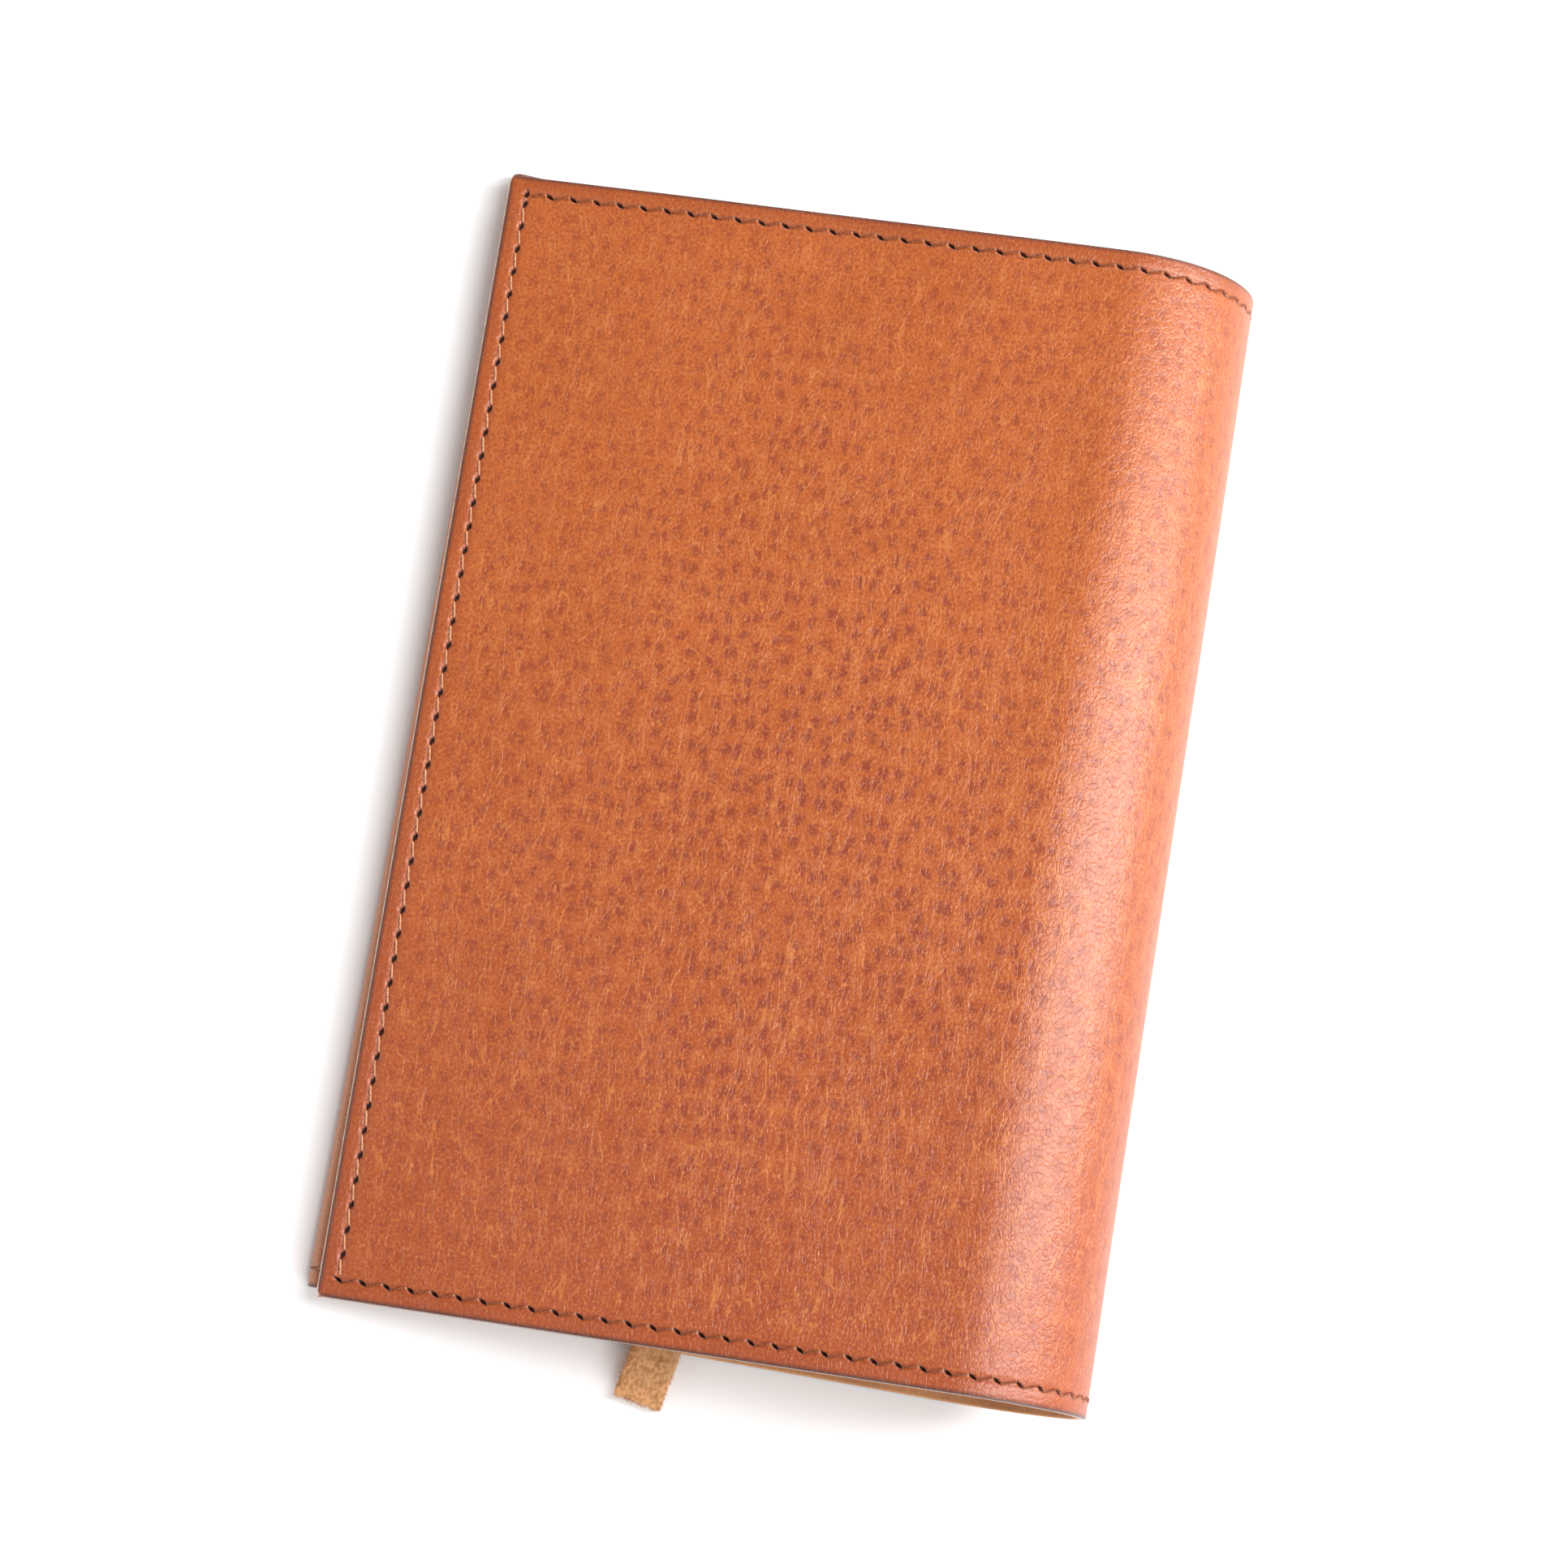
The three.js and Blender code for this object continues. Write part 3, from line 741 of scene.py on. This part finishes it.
def outer_face(s, v):
    """The grain side: bowed, rubbed at its cut edges, pebbled, grooved and pricked."""
    side = EDGE - np.abs(v)
    shift = corner_shift(BACK_END - s, side) - corner_shift(s - TURN_IN_END, side)
    s, v = s - shift, v - np.sign(v) * np.abs(shift)
    height = grain(s, v)
    calm = smooth_step(EDGE - np.abs(v), 0.4, 9) * smooth_step(BACK_END - s, 0.4, 9)
    cut, opened = seams(s, v)
    rim = np.maximum(rub(EDGE - np.abs(v)), np.maximum(rub(BACK_END - s), rub(s - TURN_IN_END)))
    depth = bow(s, v) + rim + cut - height * calm
    return s, v, depth, layer_values(s, v, opened, calm * pebbling(s, v))


def pebbling(s, v):
    """Share of the dimples that show: a bell round the pebbled place over an even start, times a noise."""
    across = (s - PEBBLED_PLACE[0]) / PEBBLED_REACH[0]
    up = (v - PEBBLED_PLACE[1]) / PEBBLED_REACH[1]
    return (0.52 + 0.48 * np.exp(-(across**2) - up**2)) * (0.95 + 0.22 * smooth_noise(s / 17, v / 23, 9))


def plain_depth(depth):
    """A side at one depth that bows with the rest."""
    return lambda s, v: depth + bow(s, v)


SPINE_PLACES = ("front_shoulder", "front", "middle", "back", "back_shoulder")
BODIES = ["front_cover", *(f"spine_{place}" for place in SPINE_PLACES), "back_cover"]


def limits(k, first, last):
    """Where stretch k starts and ends, in a row that runs from first to last. Stretch -1 is the front
    cover, 0 to 5 are the bends of the spine, and 6 is the back cover."""
    low = first if k < 0 else k * HINGE_LENGTH
    high = 0 if k < 0 else last if k == HINGES else low + HINGE_LENGTH
    return low, high


def stretch_names(front, bend, back):
    """Names of a row's stretches in order. The bends are numbered from 1."""
    return [front, *(f"{bend}_{n}" for n in range(1, HINGES + 1)), back]


def node_places(k):
    """How the names of the nodes start that stretch k stands for. Six bends stand for five strips of
    the spine, so the last bend stands for none."""
    return [] if k == HINGES - 1 else [BODIES[min(k + 1, HINGES)].replace("_cover", "")]


def fasten(piece, stretch_number, slot, *replaced):
    """Let a piece of the front or the back cover go with its body, or leave a bend of the spine where it
    lies, with its transform baked in. The model's parts that it replaces are hidden.
    """
    if stretch_number in (-1, HINGES):
        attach(piece, BODIES[0] if stretch_number < 0 else BODIES[-1])
    else:
        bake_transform(piece)
    if replaced:
        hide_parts(*replaced)


# %% Outer leather
HIDDEN = 1.6  # depth in mm of the outer leather's hidden side
SQUARE, BEVELLED, INNER_BEVEL = 0.03, 0.42, 0.22  # how far a cut edge leans out per mm of depth
in_pocket = pocket_hole_lines[pocket_hole_lines > TURN_IN_END + 2.6]
in_pocket = in_pocket[in_pocket < FLAT_END - FOLD_LENGTH]
pocket_lines = np.sort(np.concatenate([
    TURN_IN_END + AT_RIM,
    in_pocket,
    FLAT_END - FOLD_LENGTH * np.linspace(0, 1, 15),
    stretch(FLAT_END + 0.1, 0)[2:],
]))
hidden = plain_depth(HIDDEN)
lean = (SQUARE, None, SQUARE)
front = sheet("front_cover_leather", pocket_lines, plain_rows, outer_face, hidden, lean, outer_leather)
fasten(front, -1, "outer_leather", "front_outer_leather")
for k in range(HINGES):
    lines = stretch(k * HINGE_LENGTH, (k + 1) * HINGE_LENGTH)
    name, lean = f"spine_leather_{k + 1}", (None, None, SQUARE)
    bend = sheet(name, lines, fine_rows, outer_face, hidden, lean, outer_leather)
    fasten(bend, k, "outer_leather", *(f"{place}_outer_leather" for place in node_places(k)))
inner_lines = stretch(SPINE_LENGTH, BACK_END)
back_lines = np.concatenate([inner_lines[inner_lines < BACK_END - 2.7], (BACK_END - AT_RIM)[::-1]])
lean = (None, BEVELLED, SQUARE)
back = sheet("back_cover_leather", back_lines, fine_rows, outer_face, hidden, lean, outer_leather)
fasten(back, HINGES, "outer_leather", "back_outer_leather")
print("back cover leather:", len(back.data.polygons), "faces")

# %% [markdown]
# ## Lining and sleeve
# The lining is glued to the flesh side from the fold to the back's fore edge, and the sleeve is a
# strip of the outer leather with its grain side showing, left open towards the spine.

# %% Lining and sleeve
LINING_HIDDEN = 1.64  # depth in mm of the lining's glued side
SLEEVE_HIDDEN = 2.09


def lining_face(s, v):
    """The lining's seen side: thinned at its rim and a little uneven."""
    waver = 0.03 * smooth_noise(s / 3, v / 4, 11)
    near = np.maximum(rub(4 * (EDGE - np.abs(v))), rub(4 * (BACK_END - s))) * 0.4
    return s, v, LINING_FACE + bow(s, v) - near + waver, layer_values(s, v)


def sleeve_face(s, v):
    """The sleeve's seen side, which faces into the cover, so what is cut into it is taken away."""
    side = EDGE - np.abs(v)
    shift = corner_shift(BACK_END - s, side)
    s, v = s - shift, v - np.sign(v) * shift
    mouth = s - (BACK_END - POCKET_WIDTH)
    rim = np.maximum(rub(EDGE - np.abs(v)), np.maximum(rub(BACK_END - s), rub(mouth)))
    cut, opened = seams(s, v)
    height = grain(s + 300, v)  # another part of the hide
    return s, v, BACK_STACK + bow(s, v) - rim - cut * 0.8 + 0.3 * height, layer_values(s, v, opened, 0.3)


def every(low, high, step):
    """Even lines from low to high, about a step apart."""
    return np.linspace(low, high, max(2, round((high - low) / step)) + 1)


rims = [-EDGE, -EDGE + 0.1, -EDGE + 0.4, EDGE - 0.4, EDGE - 0.1, EDGE]
thin_rows = gather(rims, every(-EDGE + 1.5, EDGE - 1.5, 1.6))
names = stretch_names("front_lining_leather", "spine_lining", "back_lining_leather")
for k, name in enumerate(names, -1):
    columns = every(*limits(k, FLAT_END + 0.2, BACK_END), 1.4)
    lean = (0.0 if k < 0 else None, INNER_BEVEL if k == HINGES else None, SQUARE)
    glued = plain_depth(LINING_HIDDEN)
    lining = sheet(name, columns, thin_rows, lining_face, glued, lean, lining_leather)
    fasten(lining, k, "lining_leather", *(f"{place}_lining" for place in node_places(k)))

mouth_line = BACK_END - POCKET_WIDTH
sleeve_lines = np.concatenate([mouth_line + AT_RIM, back_lines[back_lines > mouth_line + 2.6]])
glued, lean = plain_depth(SLEEVE_HIDDEN), (0.0, INNER_BEVEL, SQUARE)
sleeve = sheet("back_sleeve_leather", sleeve_lines, fine_rows, sleeve_face, glued, lean, outer_leather)
fasten(sleeve, HINGES, "outer_leather", "back_sleeve")

# %% [markdown]
# ## Thread
# Each stitch you see is a short length of thread that comes up at one end of a slit, lies in the
# groove, and goes down at the near end of the next. It is a small tube carried along a path on the
# flat pattern, so it bends and sinks with the leather it holds. A bevelled curve would draw a tube
# too, but hundreds of stitches are quicker and cleaner as one mesh of a few dozen faces each.

# %% Tubes along paths
def tubes(name, paths, radius, sides, material, into_place):
    """Tubes of the same number of rings along paths (count, rings, 3), closed at both ends. At each
    ring the section stands square to the path: its axes are the path's direction crossed with z. The
    value painted_glint is 1 at both ends of a path, where a thread is drawn tight over the lip of a
    hole, and marks a painted highlight there."""
    paths = np.asarray(paths, float)
    count, rings, _ = paths.shape
    heading = np.gradient(paths, axis=1)
    heading /= np.linalg.norm(heading, axis=-1, keepdims=True) + 1e-12
    side = np.cross(heading, (0.0, 0.0, 1.0)) + 1e-9
    side /= np.linalg.norm(side, axis=-1, keepdims=True)
    other = np.cross(heading, side)
    angle = np.arange(sides) / sides * 2 * math.pi
    radius = np.broadcast_to(np.asarray(radius, float), (count, rings))[..., None, None]
    turn = side[..., None, :] * np.cos(angle)[:, None] + other[..., None, :] * np.sin(angle)[:, None]
    points = paths[..., None, :] + radius * turn
    ids = np.arange(count * rings * sides).reshape(count, rings, sides)
    after = np.roll(ids, -1, 2)
    quads = np.stack([ids[:, :-1], after[:, :-1], after[:, 1:], ids[:, 1:]], -1).reshape(-1, 4)
    faces = quads.tolist() + ids[:, 0, ::-1].tolist() + ids[:, -1].tolist()
    length = np.cumsum(np.linalg.norm(np.diff(paths, axis=1, prepend=paths[:, :1]), axis=-1), 1)
    around = np.broadcast_to(np.arange(sides) / sides, (count, rings, sides))
    along = np.broadcast_to(length[..., None], (count, rings, sides))
    corners = lambda a, b: np.stack([a[:, :-1], b[:, :-1], b[:, 1:], a[:, 1:]], -1).reshape(-1)
    pattern = np.stack([corners(around, around + 1 / sides), corners(along, along)], -1)
    caps = np.stack([np.concatenate([around[:, 0, ::-1].ravel(), around[:, -1].ravel()]),
                     np.concatenate([along[:, 0].ravel(), along[:, -1].ravel()])], -1)
    flat = points.reshape(-1, 3)
    placed = into_place(flat[:, 0], flat[:, 1], flat[:, 2])
    middle = np.abs(np.linspace(-1, 1, rings))
    # painted highlight at both ends of a path, where the thread goes over the lip of a hole
    painted_glint = np.broadcast_to(smooth_step(middle, 0.55, 0.75)[None, :, None], (count, rings, sides)).ravel()
    return new_mesh(name, placed, faces, np.concatenate([pattern, caps]), {"painted_glint": painted_glint}, material)


THREAD = 0.2  # radius in mm
STEPS = np.array([0, 0.05, 0.12, 0.36, 0.64, 0.88, 0.95, 1])
REACH = 0.87  # how far along a slit the thread comes up, from the slit's middle
slack = np.random.default_rng(21)


def stitch_paths(starts, ends, level, dive):
    """Straight from start to end on the pattern. The depth is level, and falls by dive at both ends."""
    way = starts[:, None] + (ends - starts)[:, None] * STEPS[:, None]
    way = way + slack.normal(0, 0.02, way.shape)
    lift = slack.normal(0, 0.02, len(starts))[:, None]
    end = np.abs(2 * STEPS - 1)
    down = dive * smooth_step(end, 0.8, 1.0) - np.sign(dive) * 0.09 * smooth_step(end, 0.3, 0.7)
    return np.concatenate([way, (level + lift + bow(way[..., 0], way[..., 1]) + down)[..., None]], -1)


def end_seam(low, high, level, dive, folded=False):
    """Stitches along the head and the tail whose middles lie from low to high."""
    found = []
    for up in (SEAM, -SEAM):
        here = np.stack([end_holes, np.full(HOLES, up)], -1)
        starts = here[1:] + np.multiply(REACH, END_SLANT)
        ends = here[:-1] - np.multiply(REACH, END_SLANT)
        middles = (starts[:, 0] + ends[:, 0]) / 2
        kept = (middles > low) & (middles <= high)
        starts, ends = starts[kept], ends[kept]
        if folded:
            starts, ends = (np.stack([mirror_in_fold(a[:, 0]), a[:, 1]], -1) for a in (starts, ends))
        found.append(stitch_paths(starts, ends, level, dive))
    return np.concatenate(found)


def fore_seam(level, dive):
    """Stitches along the back cover's fore edge."""
    here = np.stack([np.full(len(fore_holes), FORE_SEAM), fore_holes], -1)
    starts = here[:-1] + np.multiply(REACH, FORE_SLANT)
    return stitch_paths(starts, here[1:] - np.multiply(REACH, FORE_SLANT), level, dive)


# %% Outside threads
OUTSIDE = 0.12  # depth of the thread's middle in its groove
DIVE, LINING_DIVE = 0.9, 0.6  # how far a thread goes down its hole, in leather and in lining
SIDES = 6
names = stretch_names("front_cover_thread", "spine_thread", "back_cover_thread")
for k, name in enumerate(names, -1):
    paths = end_seam(*limits(k, FLAT_END, BACK_END), OUTSIDE, DIVE)
    if k < 0:
        in_fold = end_seam(FLAT_END, FLAT_END + POCKET_WIDTH, OUTSIDE, DIVE, folded=True)
        paths = np.concatenate([paths, in_fold])
    thread = tubes(name, paths, THREAD, SIDES, thread_painted_shade, wrap)
    nodes = [f"{place}_{end}_needle_thread" for place in node_places(k) for end in ("head", "tail")]
    nodes += ["front_pocket_head_thread", "front_pocket_tail_thread"] if k < 0 else []
    fasten(thread, k, "waxed_thread", *nodes)

fold_turns = []
for up in (SEAM, -SEAM):
    across = np.linspace(end_holes[-1], mirror_in_fold(end_holes[-1]), 14)
    down = DIVE * smooth_step(np.abs(np.linspace(-1, 1, 14)), 0.8, 1.0)
    fold_turns.append(np.stack([across, np.full(14, up), OUTSIDE + down], -1))
fold_thread = tubes("front_fold_thread", fold_turns, THREAD, SIDES, thread_painted_shade, wrap)
fasten(fold_thread, -1, "waxed_thread")
fore_paths = fore_seam(OUTSIDE, DIVE)
fore_thread = tubes("back_fore_edge_thread", fore_paths, THREAD, SIDES, thread_painted_light, wrap)
fasten(fore_thread, HINGES, "waxed_thread", "back_fore_edge_needle_thread")
print("stitches along the fore edge:", len(fore_paths))

# %% Inside threads
ON_LINING = LINING_FACE + 0.12
ON_SLEEVE = BACK_STACK - 0.05
names = stretch_names("front_inside_thread", "spine_inside_thread", "back_inside_thread")
for k, name in enumerate(names, -1):
    low, high = limits(k, FLAT_END + POCKET_WIDTH, BACK_END - POCKET_WIDTH)
    thread = tubes(name, end_seam(low, high, ON_LINING, -LINING_DIVE), THREAD, SIDES, thread_painted_shade, wrap)
    nodes = [f"{place}_{end}_inside_thread" for place in node_places(k) for end in ("head", "tail")]
    fasten(thread, k, "waxed_thread", *nodes)
sleeve_ends = end_seam(BACK_END - POCKET_WIDTH, BACK_END, ON_SLEEVE, -DIVE)
paths = np.concatenate([sleeve_ends, fore_seam(ON_SLEEVE, -DIVE)])
sleeve_thread = tubes("back_sleeve_thread", paths, THREAD, SIDES, thread_painted_shade, wrap)
nodes = [f"back_sleeve_{side}_thread" for side in ("head", "tail", "fore_edge")]
fasten(sleeve_thread, HINGES, "waxed_thread", *nodes)
print("stitches on the sleeve:", len(paths))

# %% [markdown]
# ## Bookmark
# A strap of suede split, sewn to the lining near the head and long enough to come out past the
# tail. Its section is a soft rectangle carried along a straight line that sags a little at the free
# end. Short fibres stand out where the knife left the edge, and they are what tells suede from felt.

# %% Strap
STRAP_WIDTH, STRAP_THICKNESS = 9.5, 1.2
STRAP_TACK = np.array([45.7, 101.5])
STRAP_ABOVE, STRAP_BELOW = 2.5, 225.3
STRAP_MIDDLE = 3.4  # height of the strap's middle
SHOWN = 22.0  # length at the free end that gets a fine grid


def lay_strap(along, across, up):
    """Place along the strap from its tack, across it, and above its middle, all in mm, to metres."""
    sag = -1.0 * smooth_step(along, STRAP_BELOW - 18, STRAP_BELOW + 6) + 0.15 * np.sin(along / 17)
    x = STRAP_TACK[0] - along * math.sin(STRAP_LEAN) + across * math.cos(STRAP_LEAN)
    y = STRAP_TACK[1] - along * math.cos(STRAP_LEAN) - across * math.sin(STRAP_LEAN)
    return np.stack([x, y, STRAP_MIDDLE + sag + up], -1) / 1000


def strap_section(steps):
    """A rounded rectangle: a superellipse of power 7 across and 3.5 up, as angles go round."""
    angle = np.linspace(0, 2 * math.pi, steps, endpoint=False)
    across = np.sign(np.cos(angle)) * np.abs(np.cos(angle)) ** (2 / 7)
    up = np.sign(np.sin(angle)) * np.abs(np.sin(angle)) ** (2 / 3.5)
    return across * STRAP_WIDTH / 2, up * STRAP_THICKNESS / 2


def cap_faces(ring):
    """Faces across a closed ring: each joins two neighbours to the two that lie opposite."""
    half = len(ring) // 2
    middle = [[ring[i], ring[i + 1], ring[-i - 1], ring[-i]] for i in range(1, half - 1)]
    return [[ring[0], ring[1], ring[-1]], *middle, [ring[half - 1], ring[half], ring[half + 1]]]


across, up = strap_section(96)
hidden_part = every(-STRAP_ABOVE, STRAP_BELOW - SHOWN, 1.6)[:-1]
along = np.concatenate([hidden_part, every(STRAP_BELOW - SHOWN, STRAP_BELOW, 0.3)])
along = np.concatenate([along[:1], along, along[-1:]])
tuck = np.ones(len(along))
tuck[[0, -1]] = 0.93
t, a = np.meshgrid(along, across, indexing="ij")
u = np.broadcast_to(up, t.shape) * tuck[:, None]
nap = 0.11 * smooth_noise(t / 0.9 + 40, a / 0.55 + 7 * np.sign(u) + 40, 13)
nap = nap + 0.05 * smooth_noise(t / 0.4, a / 0.3 + 5, 14)
edge_wander = 0.10 * smooth_noise(t / 2.3 + 9, np.sign(a) * 3.5 + 30, 15)
t = t + np.where((t > STRAP_BELOW - 0.1), 0.35 * smooth_noise(a / 1.1 + 20, t * 0 + 4.5, 16), 0)
strap_points = lay_strap(t, a * tuck[:, None] + np.sign(a) * edge_wander, u * (1 + nap / 0.6))
ids = np.arange(t.size).reshape(t.shape)
after = np.roll(ids, -1, 1)
quads = np.stack([ids[:-1], ids[1:], after[1:], after[:-1]], -1).reshape(-1, 4)
faces = quads.tolist() + [face_ids[::-1] for face_ids in cap_faces(ids[-1])] + cap_faces(ids[0])
pattern = np.stack([t.ravel(), a.ravel()], -1)
strap = new_mesh("suede_bookmark_strap", strap_points.reshape(-1, 3), faces, pattern, {}, strap_suede)
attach(strap, "bookmark")
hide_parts("bookmark_strap")

# %% Fibres
fuzz = np.random.default_rng(31)
FIBRES = 620
side = fuzz.integers(0, 3, FIBRES)  # left edge, right edge, cut end
root_along = np.where(side == 2, STRAP_BELOW - 0.1, STRAP_BELOW - SHOWN * fuzz.random(FIBRES))
on_end = fuzz.uniform(-0.48, 0.48, FIBRES) * STRAP_WIDTH
root_across = np.where(side == 2, on_end, (side - 0.5) * (STRAP_WIDTH - 0.5))
root = np.stack([root_along, root_across, fuzz.uniform(-0.4, 0.45, FIBRES)], -1)
off_edge = np.stack([0.9 + 0 * side, (side - 0.5) * 1.6, 0 * side], -1)
out = np.where((side == 2)[:, None], (1.0, 0.0, 0.0), off_edge)
out = out + fuzz.normal(0, 0.5, (FIBRES, 3)) * (1, 1, 0.4)
out *= (fuzz.uniform(0.35, 0.95, FIBRES) / np.linalg.norm(out, axis=1))[:, None]
curl = fuzz.normal(0, 0.16, (FIBRES, 3))
step = np.linspace(0, 1, 4)[:, None]
fibre_paths = root[:, None] + out[:, None] * step + curl[:, None] * step**2
thinning = np.array([0.06, 0.05, 0.035, 0.012])  # radius in mm, drawn coarser than real so that it shows
fibres = tubes("suede_bookmark_fibres", fibre_paths, thinning, 3, strap_suede, lay_strap)
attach(fibres, "bookmark")

# %% Tack stitch
strands = []
turn = np.linspace(0, math.pi, 15)
reach = STRAP_WIDTH / 2 + 1.0
for shift in (-0.8, 0.0, 0.8):
    over = np.sign(np.cos(turn)) * np.abs(np.cos(turn)) ** 0.45 * reach
    rise = -1.25 + 2.6 * np.abs(np.sin(turn)) ** 0.45
    strands.append(np.stack([shift + 0 * turn, over, rise], -1))
tack = tubes("bookmark_tack_thread", strands, 0.24, 6, thread_painted_shade, lay_strap)
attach(tack, "front_cover")
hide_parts("bookmark_tack_stitch")
print("bookmark length", STRAP_ABOVE + STRAP_BELOW, "mm")

# %% [markdown]
# ## Studio
# The cover lies on a near-white floor under a pale even sky. A tall soft lamp hangs to the right,
# where the round of the spine mirrors it, so the shine runs down the spine. Wide lamps beyond the
# head and the tail light the covers from low down, where the flat leather does not mirror them, and
# a weaker one on the left fills the shade at the fore edge.

# %% Floor, light and camera
def lamp(name, target, direction, distance, size, power):
    """A rectangular area light at a distance from a target, facing it, with the power given."""
    data = bpy.data.lights.new(name, "AREA")
    data.shape = "RECTANGLE"
    data.size, data.size_y = size
    data.energy = power
    made = bpy.data.objects.new(name, data)
    bpy.context.scene.collection.objects.link(made)
    direction = Vector(direction).normalized()
    made.location = Vector(target) + direction * distance
    made.rotation_mode = "QUATERNION"
    made.rotation_quaternion = direction.to_track_quat("Z", "Y")
    return made


def make_floor():
    """One large matt square, 0.4 mm under the cover so that the two never share a plane."""
    material, tree = start_material("matt_white_paper_sweep")
    surface(tree, [("Base Color", linear("#fafafa")), ("Roughness", 1.0), ("Specular IOR Level", 0.0)])
    mesh = bpy.data.meshes.new("paper_sweep")
    half, level = 4.0, -0.0004
    corners = [(-half, -half, level), (half, -half, level), (half, half, level), (-half, half, level)]
    mesh.from_pydata(corners, [], [(0, 1, 2, 3)])
    mesh.materials.append(material)
    made = bpy.data.objects.new("paper_sweep", mesh)
    bpy.context.scene.collection.objects.link(made)


make_floor()
lamp("spine_softbox", (0.065, 0.0, 0.045), (0.56, 0.12, 0.81), 1.0, (0.32, 1.6), 14.5)
lamp("left_fill", (0.0, 0.0, 0.02), (-0.95, -0.3, 0.35), 1.6, (0.8, 1.6), 5.0)
lamp("head_fill", (0.0, 0.0, 0.02), (0.3, 0.9, 0.5), 1.6, (1.6, 0.8), 13.0)
lamp("tail_fill", (0.0, 0.0, 0.02), (0.5, -0.85, 0.6), 1.6, (1.8, 1.0), 19.0)

world = bpy.data.worlds.new("pale_sky")
world.use_nodes = True
background = world.node_tree.nodes["Background"]
background.inputs["Color"].default_value = (0.97, 0.985, 1.0, 1.0)
background.inputs["Strength"].default_value = 0.36
bpy.context.scene.world = world
bpy.context.scene.view_settings.view_transform = "Standard"

eye = Vector((-0.1674, -0.1501, 0.8744))
target = Vector((0.00846, -0.0012, 0.0240))
ahead = (target - eye).normalized()
right = ahead.cross(Vector((0, 1, 0))).normalized()
level_up = right.cross(ahead)
roll = math.radians(9.389)
right_side = math.cos(roll) * right + math.sin(roll) * level_up
up_side = right_side.cross(ahead)
camera_data = bpy.data.cameras.new("camera")
camera_data.lens = 106.36
camera_data.sensor_width = 36.0
camera = bpy.data.objects.new("camera", camera_data)
bpy.context.scene.collection.objects.link(camera)
turned = Matrix((right_side, up_side, -ahead)).transposed()
camera.matrix_world = Matrix.Translation(eye) @ turned.to_4x4()
bpy.context.scene.camera = camera
